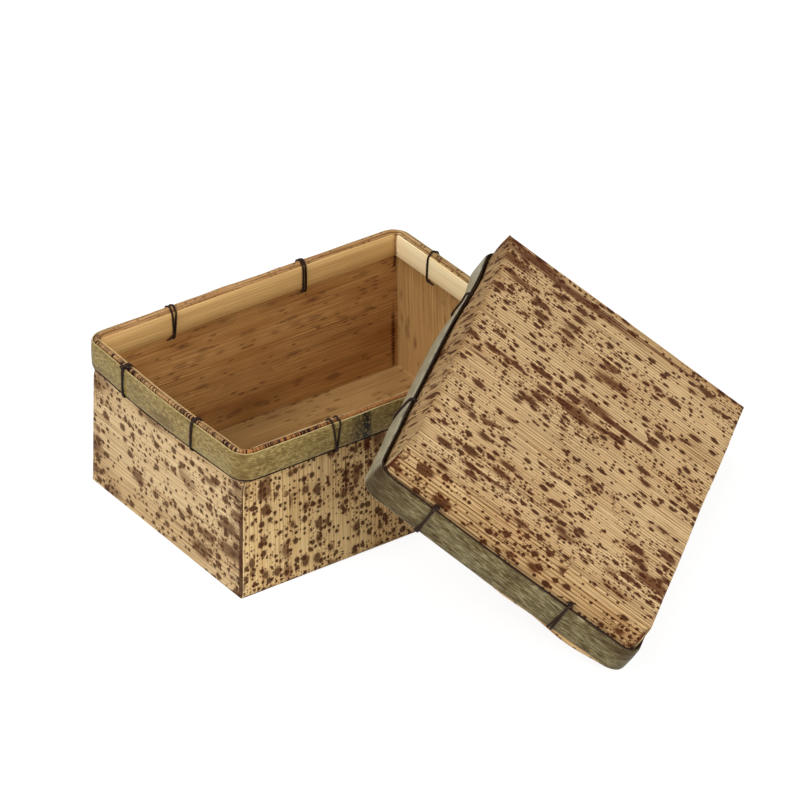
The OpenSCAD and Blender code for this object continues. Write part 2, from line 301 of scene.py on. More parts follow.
def sheath_fields(case, outer, ridge, marks, **more):
    """What a sheet's material reads at each point of its outer face."""
    own = {"darkening": stains_and_shadows(outer, marks), "aged_and_shaded": aged_and_shaded(case, outer), "crowding": crowding(case, outer)}
    return {"ridge": ridge, **own, **more}


def pairs(a, b, shape):
    """Two fields over a grid, as pairs."""
    return np.stack([np.broadcast_to(a, shape), np.broadcast_to(b, shape)], -1)


def side_turn(side):
    """Rotation that takes the front side to another one."""
    g = math.radians(90 * side)
    return np.array([[math.cos(g), -math.sin(g), 0], [math.sin(g), math.cos(g), 0], [0, 0, 1]])


def raised(p, n, out, z):
    """The points of a loop moved outwards by out, at height z."""
    return np.concatenate([p + n * out[:, None], z[:, None]], 1)


def finish_mesh(name, points, faces, case, uv, fields):
    """Links a mesh object. uv is one pair in mm per point, fields are values per point by name."""
    mesh = bpy.data.meshes.new(name)
    mesh.from_pydata(case.place(points).tolist(), [], faces)
    mesh.polygons.foreach_set("use_smooth", [True] * len(mesh.polygons))
    layer = mesh.uv_layers.new(name="fibre")
    corners = np.empty(len(mesh.loops), dtype=np.int32)
    mesh.loops.foreach_get("vertex_index", corners)
    layer.data.foreach_set("uv", (np.asarray(uv).reshape(-1, 2)[corners] * MM).ravel())
    for key, values in fields.items():
        field = mesh.attributes.new(key, "FLOAT", "POINT")
        field.data.foreach_set("value", np.asarray(values, np.float32).ravel())
    mesh.update()
    obj = bpy.data.objects.new(name, mesh)
    bpy.context.scene.collection.objects.link(obj)
    return obj


def shell(name, outer, inner, case, uv, fields):
    """A closed sheet between two grids of points, the outer one facing along n cross m.
    Its faces are in order: the outer ones, the inner ones and the edge."""
    n, m = outer.shape[:2]
    count = n * m
    top = grid_faces(n, m)
    under = grid_faces(n, m, count)[:, ::-1]
    loop = np.concatenate(
        [
            np.arange(n) * m,
            (n - 1) * m + np.arange(1, m),
            (np.arange(n - 1)[::-1]) * m + m - 1,
            np.arange(1, m - 1)[::-1],
        ]
    )
    nxt = np.roll(loop, -1)
    rim = np.stack([loop, loop + count, nxt + count, nxt], -1)[:, ::-1]
    faces = np.concatenate([top, under, rim])
    if case.flipped:
        faces = faces[:, ::-1]
    points = np.concatenate([outer.reshape(-1, 3), inner.reshape(-1, 3)])
    both = {key: np.concatenate([v.ravel()] * 2) for key, v in fields.items()}
    return finish_mesh(name, points, faces.tolist(), case, np.concatenate([uv.reshape(-1, 2)] * 2), both)


def sweep(name, rings, case, uv, fields=None, closed=True):
    """A tube through rings of points, n rings of m points. Open ends are capped."""
    n, m = rings.shape[:2]
    faces = grid_faces(n, m, wrap_n=closed, wrap_m=True)
    points, uv = rings.reshape(-1, 3), uv.reshape(-1, 2)
    fields = {key: np.broadcast_to(v, (n, m)).ravel() for key, v in (fields or {}).items()}
    caps = np.empty((0, 3), int)
    if not closed:
        points = np.concatenate([points, rings[0].mean(0)[None], rings[-1].mean(0)[None]])
        uv = np.concatenate([uv, uv[:m].mean(0)[None], uv[-m:].mean(0)[None]])
        fields = {key: np.concatenate([v, [v[:m].mean(), v[-m:].mean()]]) for key, v in fields.items()}
        j = np.arange(m)
        k = (j + 1) % m
        first = np.stack([np.full(m, n * m), j, k], -1)
        last = np.stack([np.full(m, n * m + 1), (n - 1) * m + k, (n - 1) * m + j], -1)
        caps = np.concatenate([first, last])
    if case.flipped:
        faces, caps = faces[:, ::-1], caps[:, ::-1]
    return finish_mesh(name, points, faces.tolist() + caps.tolist(), case, uv, fields)


def finish_piece(obj, case, material, nodes):
    """Gives a piece its material and its body, and hides the CAD parts that it stands for."""
    obj.data.materials.append(material)
    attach(obj, case.name)
    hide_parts(*[f"{case.name}_{n}" for n in nodes])


# ---- paths round a case ----


def rim_loop(case, out, bend, step, z=None):
    """Points, outward normals and running length of a round-cornered loop round the mouth,
    moved outwards by out. It starts at the middle of the right side and runs counter-clockwise."""
    a, b = case.mouth if z is None else case.half(z)
    a, b = a + out, b + out
    bend = max(bend, 0.05)
    pts, nor = [], []

    def line(p, q, n):
        count = max(int(np.hypot(*(q - p)) / step), 1)
        t = (np.arange(count) / count)[:, None]
        pts.append(p + (q - p) * t)
        nor.append(np.repeat(n[None], count, 0))

    def arc(c, start):
        count = max(int(bend * np.pi / 2 / step), 8)
        g = np.radians(start) + np.arange(count) / count * np.pi / 2
        n = np.stack([np.cos(g), np.sin(g)], -1)
        pts.append(c + n * bend)
        nor.append(n)

    e = np.array
    line(e([a, 0]), e([a, b - bend]), e([1.0, 0]))
    arc(e([a - bend, b - bend]), 0)
    line(e([a - bend, b]), e([-a + bend, b]), e([0, 1.0]))
    arc(e([-a + bend, b - bend]), 90)
    line(e([-a, b - bend]), e([-a, -b + bend]), e([-1.0, 0]))
    arc(e([-a + bend, -b + bend]), 180)
    line(e([-a + bend, -b]), e([a - bend, -b]), e([0, -1.0]))
    arc(e([a - bend, -b + bend]), 270)
    line(e([a, -b + bend]), e([a, 0]), e([1.0, 0]))
    p, n = np.concatenate(pts), np.concatenate(nor)
    gaps = np.linalg.norm(np.roll(p, -1, 0) - p, axis=1)
    return p, n, np.concatenate([[0], np.cumsum(gaps)[:-1]])


# ---- sheets ----


def u_path(case, lining, fold, step=2.6):
    """Path of a sheet up one wall, over the closed face and up the other, as points (h, z)
    with their outward normals (h, z) and running length. The lining lies one sheet in."""
    low, high = SHEET if lining else 0, case.height - SHEET_TOP
    half = lambda z: case.half(z)[0 if lining else 1]
    zs = np.linspace(high, low + fold, max(int((high - low) / step), 6))
    side = np.stack([-(half(zs) - low), zs], -1)
    h0 = float(half(low)) - low
    g = np.radians(np.linspace(180, 270, 7))[1:-1]
    corner = np.stack([-h0 + fold + fold * np.cos(g), low + fold + fold * np.sin(g)], -1)
    count = int(2 * h0 / step)
    flat = np.stack([np.linspace(-h0 + fold, h0 - fold, count), np.full(count, low)], -1)
    path = np.concatenate([side, corner, flat, corner[::-1] * [-1, 1], side[::-1] * [-1, 1]])
    tangent = np.gradient(path, axis=0)
    tangent /= np.linalg.norm(tangent, axis=1)[:, None]
    normal = np.stack([tangent[:, 1], -tangent[:, 0]], -1)
    length = np.concatenate([[0], np.cumsum(np.linalg.norm(np.diff(path, axis=0), axis=1))])
    return path, normal, length - length[-1] / 2


def u_sheet(name, case, lining, fold, curl, edge, pitch, rib_height, seed, marks):
    """A sheet laid in a U, its fibres along the U: the wrap, as wide as the case is long, or
    the lining, whose inner side shows. curl is how far its side edges turn round the walls'
    corners, and edge the radius and the straight end of their turn round the closed face."""
    path, normal, length = u_path(case, lining, fold)
    z = path[:, 1]
    cross_half = case.half(z)[1 if lining else 0] - (WALL if lining else 0)
    on_wall = smooth(0.3, 0.95, np.abs(normal[:, 0]))
    bend = on_wall * (case.bend(z) - (SHEET if lining else 0)) + (1 - on_wall) * edge[0]
    bend = np.clip(bend, 0.3, None)
    wave = 0.22 * noise_1d(seed + 5, length, 22) + 0.1 * noise_1d(seed + 6, length, 5)
    straight = cross_half - bend
    turn_most = on_wall * curl + (1 - on_wall) * min(np.pi / 2, edge[0] * 2)
    total = straight + bend * turn_most + (1 - on_wall) * edge[1] + wave
    count = int(2 * cross_half.max() / (pitch / 5.5))
    s = np.linspace(-1, 1, count)[None, :] * total[:, None]
    past = np.clip(np.abs(s) - straight[:, None], 0, None)
    turn = np.minimum(past / bend[:, None], np.pi / 2)
    tail = past - turn * bend[:, None]
    across = np.sign(s) * (np.minimum(np.abs(s), straight[:, None]) + bend[:, None] * np.sin(turn))
    back = bend[:, None] * (1 - np.cos(turn)) + tail
    normal_h = normal[:, None, 0] * np.cos(turn)
    normal_z = normal[:, None, 1] * np.cos(turn)
    normal_c = np.sign(s) * np.sin(turn)
    u = s + 0.25 * noise_1d(seed + 1, length, 60)[:, None]
    rib = ribs(seed, u + 0.35 * noise_1d(seed + 2, length, 35)[:, None], pitch)
    fade = 0.35 * np.abs(noise_1d(seed + 3, u * 0.9, 9))
    fade = 1 - fade * (0.6 + 0.4 * noise_1d(seed + 4, length, 17)[:, None])
    lift = rib_height * (rib * fade - 0.5)
    lift = lift + 0.12 * noise_1d(seed + 7, length, 26)[:, None] * np.cos(u / 19.0)
    lift = lift + 0.1 * np.sin(u / 11.0 + seed)

    def grid(offset):
        h = path[:, None, 0] - normal[:, None, 0] * back + normal_h * offset
        zz = path[:, None, 1] - normal[:, None, 1] * back + normal_z * offset
        c = across + normal_c * offset
        return np.stack([h, -c, zz] if lining else [c, h, zz], -1)

    if lining:
        outer, inner = grid(np.zeros_like(lift)), grid(-SHEET - np.minimum(lift, 0.12))
    else:
        outer, inner = grid(lift), grid(-SHEET + 0.3 * np.minimum(lift, 0))
    uv = np.stack([u, np.repeat(length[:, None], count, 1)], -1)
    trim = smooth(0.6, 0.25, total[:, None] - np.abs(s)) * on_wall[:, None] * (0 if lining else 1)
    fields = sheath_fields(case, outer, rib * fade, marks, trim=trim)
    return shell(name, outer, inner, case, uv, fields)


def hoop_sheet(name, case, low, edge, pitch, rib_height, seed, marks):
    """The strip round all four walls, its fibres level. It is outermost on the short walls
    and inside the wrap on the long ones, and its ends lap on the right wall. On the lid its
    fibres and marks carry on from the closed face's sheet. Also returns how many faces its
    outside has."""
    joined = case.flipped
    top = case.height - SHEET_TOP
    step = pitch / (5.5 if joined else 4.2)
    zs = np.linspace(low, top, int((top - low) / step))
    rows = []
    for z in zs:
        p, n, d = rim_loop(case, 0, float(case.bend(z)), 1.6, z)
        rows.append(resample_loop(p, n, d, 260))
    p, n, d = (np.stack([r[k] for r in rows]) for k in range(3))
    # inside the wrap on the long walls and under its turned edge near the closed face
    under = SHEET * smooth(0.25, 0.75, np.abs(n[..., 1]))
    tucked = (SHEET + 0.08) * (1 - smooth(edge[0] + edge[1] - 0.5, edge[0] + edge[1] + 0.8, zs))
    under = np.maximum(under, tucked[:, None] if joined else 0)
    lap = 0.55 * (1 - smooth(4, 9, d))
    around = d[:, -1:]
    v = np.where(p[..., 0] < 0, around / 2 - d, np.where(d < around / 2, d, d - around))
    if joined:
        depth = case.base[0] + zs - 0.43 * edge[0]
        u = np.where(p[..., 0] < 0, -1, 1) * depth[:, None]
    else:
        u = zs[:, None]
    u = u + 0.25 * noise_1d(seed + 1, v, 60)
    rib = ribs(seed, u + 0.35 * noise_1d(seed + 2, v, 35), pitch)
    fade = 1 - 0.35 * np.abs(noise_1d(seed + 3, u * 0.9, 9))
    lift = rib_height * (rib * fade - 0.5) + 0.1 * noise_1d(seed + 7, v, 26) * np.cos(u / 13.0)
    show = smooth(0.75, 0.25, np.abs(n[..., 1]))
    outside = lift * show + lap - under
    inside = -SHEET - under + lap - 0.1 * (rib * fade - 0.5)

    def grid(offset):
        q = p + n * offset[..., None]
        return np.concatenate([q, np.broadcast_to(zs[:, None, None], (*q.shape[:2], 1))], -1)

    across = lambda a: a.swapaxes(0, 1)
    outer = across(grid(outside))
    fields = sheath_fields(case, outer, across(rib * fade), marks)
    obj = shell(name, outer, across(grid(inside)), case, across(np.stack([u, v], -1)), fields)
    return obj, (outer.shape[0] - 1) * (outer.shape[1] - 1)


def resample_loop(p, n, d, count):
    """The same number of samples on every loop: denser in the corners, ending where it began."""
    end = d[-1] + np.linalg.norm(p[0] - p[-1])
    bent = np.abs(n[:, 0] * n[:, 1]) > 1e-6
    weight = np.where(bent, 6.0, 1.0) * np.diff(np.append(d, end))
    along = np.concatenate([[0], np.cumsum(weight)])
    want = np.linspace(0, along[-1], count)
    pick = lambda v, last: np.interp(want, along, np.append(v, last))
    q = np.stack([pick(p[:, 0], p[0, 0]), pick(p[:, 1], p[0, 1])], -1)
    m = np.stack([pick(n[:, 0], n[0, 0]), pick(n[:, 1], n[0, 1])], -1)
    m /= np.linalg.norm(m, axis=1)[:, None]
    return q, m, pick(d, end)


# ---- materials ----


def linear(hex_colour):
    """A linear colour from an sRGB hex such as 'a8855d'."""
    parts = [int(hex_colour[i : i + 2], 16) / 255 for i in (0, 2, 4)]
    return [c / 12.92 if c <= 0.04045 else ((c + 0.055) / 1.055) ** 2.4 for c in parts] + [1.0]


def add(tree, kind, inputs=(), **settings):
    """Adds a shader node, sets its properties, and fills or links its inputs, which come by
    name or place, or as a row from the first on."""
    node = tree.nodes.new("ShaderNode" + kind)
    for key, value in settings.items():
        setattr(node, key, value)
    for key, value in inputs.items() if isinstance(inputs, dict) else enumerate(inputs):
        if isinstance(value, bpy.types.NodeSocket):
            tree.links.new(value, node.inputs[key])
        else:
            node.inputs[key].default_value = value
    return node


SOFT = {"interpolation_type": "SMOOTHSTEP"}


def new_tree(owner):
    """The empty node tree of a material or a world."""
    owner.use_nodes = True
    owner.node_tree.nodes.clear()
    return owner.node_tree


def fibre_vector(tree, across, along, shift):
    """Coordinates in which one unit is across mm over the fibres and along mm along them."""
    uv = add(tree, "UVMap", uv_map="fibre").outputs[0]
    scale, place = (1000 / across, 1000 / along, 1), (shift, shift * 0.7, 0)
    return add(tree, "Mapping", {"Vector": uv, "Scale": scale, "Location": place}).outputs[0]


def fibre_pattern(tree, across, along, shift, detail=2.0, rough=0.5, distortion=0.0):
    """Patches about across mm wide over the fibres and along mm long."""
    inputs = {"Vector": fibre_vector(tree, across, along, shift), "Scale": 1.0, "Detail": detail}
    inputs.update({"Roughness": rough, "Distortion": distortion})
    return add(tree, "TexNoise", inputs, noise_dimensions="2D").outputs[0]


def in_view(tree):
    """1 for rays that the camera sees directly, in a reflection or through glass."""
    ray = add(tree, "LightPath").outputs
    direct = (ray["Is Camera Ray"], ray["Is Glossy Ray"])
    direct = add(tree, "Math", direct, operation="MAXIMUM").outputs[0]
    return add(tree, "Math", (direct, ray["Is Transmission Ray"]), operation="MAXIMUM").outputs[0]


def lay(tree, colour, *layers):
    """Lays colours over one another. A layer is its colour, the pattern or mask that it
    follows and, where that has to become its strength, a soft step: from where to where, and
    how strong before and after."""
    for over, amount, *step in layers:
        if step:
            amount = add(tree, "MapRange", (amount, *step), **SOFT).outputs[0]
        colour = add(tree, "Mix", {0: amount, 6: colour, 7: over}, data_type="RGBA").outputs[2]
    return colour


def broken_field(tree, name, step, clamp=False):
    """A field that the mesh carries, broken up by a soft step of a pattern."""
    field = add(tree, "Attribute", attribute_name=name).outputs["Fac"]
    through = add(tree, "MapRange", step, **SOFT).outputs[0]
    return add(tree, "Math", (field, through), operation="MULTIPLY", use_clamp=clamp).outputs[0]


def marks_layer(tree, size, stretch, share, seed, soft, crowd):
    """Masks of round marks up to size mm wide and stretch times as long, on a share of places:
    the marks themselves, and with the faint halo round them."""
    pitch = size * 1.6
    inputs = {"Vector": fibre_vector(tree, pitch, pitch * stretch, seed * 3.7)}
    inputs.update({"Scale": 1.0, "Randomness": 0.78})
    cell = add(tree, "TexVoronoi", inputs, voronoi_dimensions="2D").outputs
    chance = add(tree, "SeparateColor", (cell["Color"],)).outputs
    wobble = fibre_pattern(tree, size * 0.42, size * 0.6 * stretch, seed, 2.5, 0.6)
    wobble = add(tree, "Math", (wobble, 0.5), operation="SUBTRACT").outputs[0]
    edge = add(tree, "Math", (wobble, 0.27), operation="MULTIPLY").outputs[0]
    # a place holds one mark of its own radius, or none
    here = add(tree, "Math", (chance[0], crowd), operation="ADD").outputs[0]
    here = add(tree, "Math", (here, 1.0 - share), operation="GREATER_THAN").outputs[0]
    radius = add(tree, "Math", (chance[1], 0.2, 0.15), operation="MULTIPLY_ADD").outputs[0]
    radius = add(tree, "Math", (radius, edge), operation="ADD").outputs[0]
    gap = add(tree, "Math", (radius, cell["Distance"]), operation="SUBTRACT").outputs[0]
    masks = []
    for low in (-soft, -soft - 0.16):
        mask = add(tree, "MapRange", (gap, low, soft), **SOFT).outputs[0]
        masks.append(add(tree, "Math", (here, mask), operation="MULTIPLY").outputs[0])
    return masks


def finish_material(material, colour, relief, roughness, ior, specular=0.5):
    """Adds the shader with its colour, its gloss and its fine relief, each layer of that a
    height field and its depth in millimetres."""
    tree = material.node_tree
    height = None
    for field, depth in relief:
        part = add(tree, "Math", (field, depth * MM), operation="MULTIPLY").outputs[0]
        if height is not None:
            part = add(tree, "Math", (height, part), operation="ADD").outputs[0]
        height = part
    bump = add(tree, "Bump", {"Height": height, "Distance": 1.0, "Strength": 1.0}).outputs[0]
    inputs = {"Base Color": colour, "Normal": bump, "Roughness": roughness}
    inputs.update({"IOR": ior, "Specular IOR Level": specular})
    shader = add(tree, "BsdfPrincipled", inputs)
    add(tree, "OutputMaterial", {"Surface": shader.outputs[0]})
    return material


HALO = "855632"
# tint of the dulling and of the painted shade
DULL_AND_SHADE_TINT = "cec2ab"
PALE_EDGE = "e6cf9f"


def sheath_material(name, seed, colours, layers, groove, cut, warm=0.22, darkening="451b08"):
    """Dried bamboo sheath as it grew, wiped clean and unvarnished.

    The eye gets level straw-brown fibres with a faint silky break between ribs, and dark
    brown marks that the plant made itself, some alone and some run together in clouds."""
    material = bpy.data.materials.new(name)
    tree = new_tree(material)
    light, tan, deep, orange = (linear(c) for c in colours)
    ridge = add(tree, "Attribute", attribute_name="ridge").outputs["Fac"]
    fibres = fibre_pattern(tree, 0.7, 60, seed, 3.0, 0.6)
    fine = fibre_pattern(tree, 0.2, 14, seed, 2.0, 0.6)
    lines = fibre_pattern(tree, 0.45, 70, seed + 9, 1.0)
    broad = fibre_pattern(tree, 15, 70, seed + 2)
    # painted highlight: crests are painted paler than the grooves between them
    crest = add(tree, "MapRange", (ridge, 0.15, 0.9), **SOFT).outputs[0]
    crest = add(tree, "Math", (crest, groove), operation="MULTIPLY").outputs[0]
    pale = add(tree, "MapRange", (fibres, 0.3, 0.7, 0.0, 1.0 - groove), **SOFT).outputs[0]
    pale = add(tree, "Math", (pale, crest), operation="ADD").outputs[0]
    colour = lay(
        tree,
        tan,
        (light, pale),
        (orange, broad, 0.42, 0.7, 0.0, warm),
        (deep, lines, 0.58, 0.7, 0.0, 0.62),
        # painted shade: a thin dark line at the bottom of each groove
        (deep, ridge, 0.15, 0.56, cut, 0.0),
        (deep, fine, 0.32, 0.5, 0.36, 0.0),
    )
    # painted shade and wear: the sheath is darkened under the band and on the lid's ends and back, partly its
    # own duller tone where hands and the band rub it and partly painted shade
    aged_and_shaded = broken_field(tree, "aged_and_shaded", (fibres, 0.3, 0.7, 1.0, 0.45))
    aged_and_shaded = {0: aged_and_shaded, 6: colour, 7: linear(DULL_AND_SHADE_TINT)}
    colour = add(tree, "Mix", aged_and_shaded, data_type="RGBA", blend_type="MULTIPLY").outputs[2]
    patches = fibre_pattern(tree, 24, 34, seed * 5.1)
    patches = add(tree, "MapRange", (patches, 0.32, 0.68, -0.19, 0.19), **SOFT).outputs[0]
    crowding = add(tree, "Attribute", attribute_name="crowding").outputs["Fac"]
    crowd = add(tree, "Math", (patches, crowding), operation="ADD").outputs[0]
    through = add(tree, "MapRange", (fibres, 0.35, 0.75, 1.0, 0.9), **SOFT).outputs[0]
    for k, (size, stretch, share, soft, ink, strength) in enumerate(layers):
        mark, halo = marks_layer(tree, size, stretch, share, seed + 1.7 * k, soft, crowd)
        mark = add(tree, "Math", (mark, through), operation="MULTIPLY").outputs[0]
        mark = add(tree, "Math", (mark, strength), operation="MULTIPLY").outputs[0]
        halo = add(tree, "Math", (halo, 0.38 * strength), operation="MULTIPLY").outputs[0]
        colour = lay(tree, colour, (linear(HALO), halo), (linear(ink), mark))
    # the edge of a stain, and of a painted shadow, is torn along the fibres
    spread = add(tree, "Attribute", attribute_name="darkening").outputs["Fac"]
    torn = add(tree, "Math", (fibres, lines), operation="ADD").outputs[0]
    torn = add(tree, "Math", (torn, 1.3, -1.3), operation="MULTIPLY_ADD").outputs[0]
    torn = add(tree, "Math", (spread, torn), operation="ADD").outputs[0]
    torn = add(tree, "MapRange", (torn, 0.25, 0.75, 0.0, 0.9), **SOFT).outputs[0]
    within = add(tree, "MapRange", (spread, 0.02, 0.2), **SOFT).outputs[0]
    darkened = add(tree, "Math", (torn, within), operation="MULTIPLY").outputs[0]
    # the wrap's side edges are painted pale
    trim = add(tree, "Attribute", attribute_name="trim").outputs["Fac"]
    trim = add(tree, "Math", (trim, 0.4), operation="MULTIPLY").outputs[0]
    # dark stains and painted shadows share one dark colour
    colour = lay(tree, colour, (linear(darkening), darkened), (linear(PALE_EDGE), trim))
    return finish_material(material, colour, [(fibres, 0.05), (fine, 0.03)], 0.62, 1.47, 0.07)


def rim_sheath_material(name, seed):
    """Folded edge strip of the same sheath, soaked and bent with the husk side out.

    The eye gets a warm orange-brown edge, barred with black where the marks cross it."""
    material = bpy.data.materials.new(name)
    tree = new_tree(material)
    bars = fibre_pattern(tree, 1.0, 30, seed, 3.0, 0.7, 0.4)
    along = fibre_pattern(tree, 26, 0.35, seed + 3, 3.0, 0.6)
    fine = fibre_pattern(tree, 0.35, 9, seed, 2.0, 0.6)
    patch = fibre_pattern(tree, 14, 60, seed + 5, 1.0)
    barred = add(tree, "Attribute", attribute_name="barred").outputs["Fac"]
    ruddy = add(tree, "Attribute", attribute_name="ruddy").outputs["Fac"]
    plain = lay(tree, linear("8a6840"), (linear("ccaa7a"), along, 0.3, 0.7))
    bright = (linear("b4783f"), fine, 0.3, 0.7), (linear("3c1c0c"), along, 0.55, 0.7, 0.0, 0.5)
    bright = lay(tree, linear("6e3c1a"), *bright)
    mark = marks_layer(tree, 1.5, 0.8, 0.5, seed, 0.06, 0.0)[0]
    plainly = add(tree, "Math", (1.0, ruddy), operation="SUBTRACT").outputs[0]
    mark = add(tree, "Math", (mark, plainly), operation="MULTIPLY").outputs[0]
    mark = add(tree, "Math", (mark, 0.8), operation="MULTIPLY").outputs[0]
    blot = add(tree, "Math", (patch, 0.4, bars), operation="MULTIPLY_ADD").outputs[0]
    blot = add(tree, "MapRange", (blot, 0.69, 0.75), **SOFT).outputs[0]
    blot = add(tree, "Math", (blot, barred), operation="MULTIPLY").outputs[0]
    colour = lay(tree, plain, (bright, ruddy), (linear("4a2d18"), mark), (linear("260f07"), blot))
    return finish_material(material, colour, [(fine, 0.05)], 0.55, 1.47, 0.12)


def bamboo_skin_material(name, seed, stretch, colours):
    """Split bamboo with its waxy outer skin left on, smoked grey-green and handled.

    The eye gets a satin olive skin, mottled like lichen and scratched along the grain,
    with a paler cut edge."""
    material = bpy.data.materials.new(name)
    tree = new_tree(material)
    base, grey, brown, pale, scorch, cut = (linear(c) for c in colours)
    clouds = fibre_pattern(tree, 5, 20, seed, 4.0, 0.62)
    mottle = fibre_pattern(tree, 1.2, 2.6 * stretch, seed + 1, 4.0, 0.7)
    flecks = fibre_pattern(tree, 0.45, 2.2 * stretch, seed + 4, 3.0, 0.6)
    grain = fibre_pattern(tree, 0.3, 24, seed + 2, 3.0, 0.6)
    darkening = fibre_pattern(tree, 9, 30, seed + 5, 3.0, 0.6)
    speck = fibre_pattern(tree, 1.6, 1.1, seed + 7, 3.0, 0.7)
    colour = lay(
        tree,
        base,
        (grey, clouds, 0.35, 0.65),
        (pale, mottle, 0.48, 0.72, 0.0, 0.75),
        (brown, mottle, 0.34, 0.48, 0.7, 0.0),
        (pale, flecks, 0.53, 0.66, 0.0, 0.75),
        (brown, flecks, 0.32, 0.44, 0.45, 0.0),
        (brown, grain, 0.34, 0.5, 0.3 * math.sqrt(stretch), 0.0),
        (brown, darkening, 0.55, 0.75, 0.0, 0.7),
        (brown, broken_field(tree, "bent", (clouds, 0.3, 0.7, 1.0, 0.6), clamp=True)),
        (scorch, broken_field(tree, "burnt", (speck, 0.36, 0.46), clamp=True)),
        # painted highlight: pale grey where the band's painted sheen field is set
        (linear("a59d82"), broken_field(tree, "painted_sheen", (mottle, 0.36, 0.56, 0.45, 0.95))),
        (cut, add(tree, "Attribute", attribute_name="cut").outputs["Fac"]),
    )
    relief = [(grain, 0.05), (mottle, 0.05), (flecks, 0.02)]
    satin = add(tree, "MapRange", (mottle, 0.3, 0.7, 0.36, 0.56), **SOFT).outputs[0]
    return finish_material(material, colour, relief, satin, 1.46, 0.17)


def bamboo_flesh_material(name, seed, light, dark):
    """Split bamboo shaved to its pale flesh with a knife and left bare.

    The eye gets a clean cream-gold strip with hair-fine straight grain."""
    material = bpy.data.materials.new(name)
    tree = new_tree(material)
    light, dark = linear(light), linear(dark)
    grain = fibre_pattern(tree, 0.4, 60, seed, 3.0, 0.55)
    fine = fibre_pattern(tree, 0.15, 14, seed)
    broad = fibre_pattern(tree, 9, 90, seed, 1.0)
    layers = (light, grain, 0.25, 0.75), (dark, fine, 0.3, 0.5, 0.25, 0.0), (dark, broad, 0.4, 0.7, 0.0, 0.3)
    return finish_material(material, lay(tree, dark, *layers), [(grain, 0.04)], 0.52, 1.46)


def cord_material(name):
    """Thin twisted cord, dyed near black and waxed.

    The eye gets a dark line with a faint warm sheen along its twist."""
    material = bpy.data.materials.new(name)
    tree = new_tree(material)
    uv = add(tree, "UVMap", uv_map="fibre").outputs[0]
    turned = {"Vector": uv, "Rotation": (0, 0, math.radians(35)), "Scale": (1000, 1000, 1)}
    turned = add(tree, "Mapping", turned).outputs[0]
    wave = {"Vector": turned, "Scale": 0.35, "Distortion": 0.6}
    twist = add(tree, "TexWave", wave, bands_direction="X").outputs["Fac"]
    colour = lay(tree, linear("170b05"), (linear("2e190f"), twist))
    return finish_material(material, colour, [(twist, 0.08)], 0.7, 1.5, 0.2)


# ---- pieces ----


def outer_band(case, material):
    """The bent split-bamboo band round the outside, thicker where its ends lap."""
    p, n, d = rim_loop(case, STRIP_OUTSIDE, BAND_BEND - OUTER_BAND[1], 1.0)
    lap_x, at_back = case.laps["band"]
    side = np.where((p[:, 1] > 0) == at_back, 1.0, 0.0)
    along = np.where(np.abs(n[:, 1]) > 0.99, p[:, 0], 1e3)
    lap = side * np.exp(-(((along - lap_x) / 9.0) ** 2))
    rise = 0.35 * noise_1d(case.seed, d, 45) + 0.12 * noise_1d(case.seed + 1, d, 12)
    height, thick = OUTER_BAND
    crown = 0.28
    foot = case.height - OUTER_FOOT
    profile = [(0.0, 0.12), (0.0, 0.5), (0.0, 0.88), (0.25, 0.985), (0.6, 1.0), (0.9, 0.975), (1.0, 0.93)]
    profile += [(1.0, 0.7), (1.0, 0.5), (1.0, 0.3), (1.0, 0.07), (0.9, 0.025), (0.6, 0.0), (0.25, 0.015)]
    thickness = thick + 0.12 * noise_1d(case.seed + 2, d, 30) + 0.55 * lap
    ring = []
    for t, h in profile:
        out = thickness * t + (crown * (4 * h * (1 - h) - 0.5) if t > 0.8 else 0)
        z = foot + height * h + (rise * 0.6 + 0.25 if h > 0.5 else rise)
        ring.append(raised(p, n, out, z))
    rings = np.stack(ring, 1)
    shape = rings.shape[:2]
    uv = pairs([height * h + thick * (1 - t) for t, h in profile], d[:, None], shape)
    lapped = lambda shift, reach, power=2: side * np.exp(-(((along - lap_x - shift) / reach) ** power))
    burnt = lapped(4, 1.6, 4) + 0.75 * lapped(0, 6.0)
    # painted highlight: the lid band's +y side is painted pale grey for the sheen of its waxy skin
    painted_sheen = 0.9 * smooth(0.85, 0.995, n[:, 1]) * (1 if case.flipped else 0)
    bent = 0.7 * np.exp(-((np.abs(np.abs(n[:, 0]) - np.abs(n[:, 1])) / 0.8) ** 2))
    if case.flipped:
        # smoked darkest where one corner was bent
        bent = np.maximum(bent, 1.15 * np.exp(-((np.hypot(p[:, 0] + 86, p[:, 1] - 60) / 12) ** 2)))
    fields = {"burnt": np.clip(burnt, 0, 1), "bent": bent, "painted_sheen": painted_sheen}
    fields = {key: v[:, None] for key, v in fields.items()}
    fields["cut"] = np.array([0.8 if t == 0.6 and h > 0.5 else 0.0 for t, h in profile])[::-1]
    obj = sweep(f"{case.name}_band_outside", rings[:, ::-1], case, uv[:, ::-1], fields)
    finish_piece(obj, case, material, ["outer_band"])


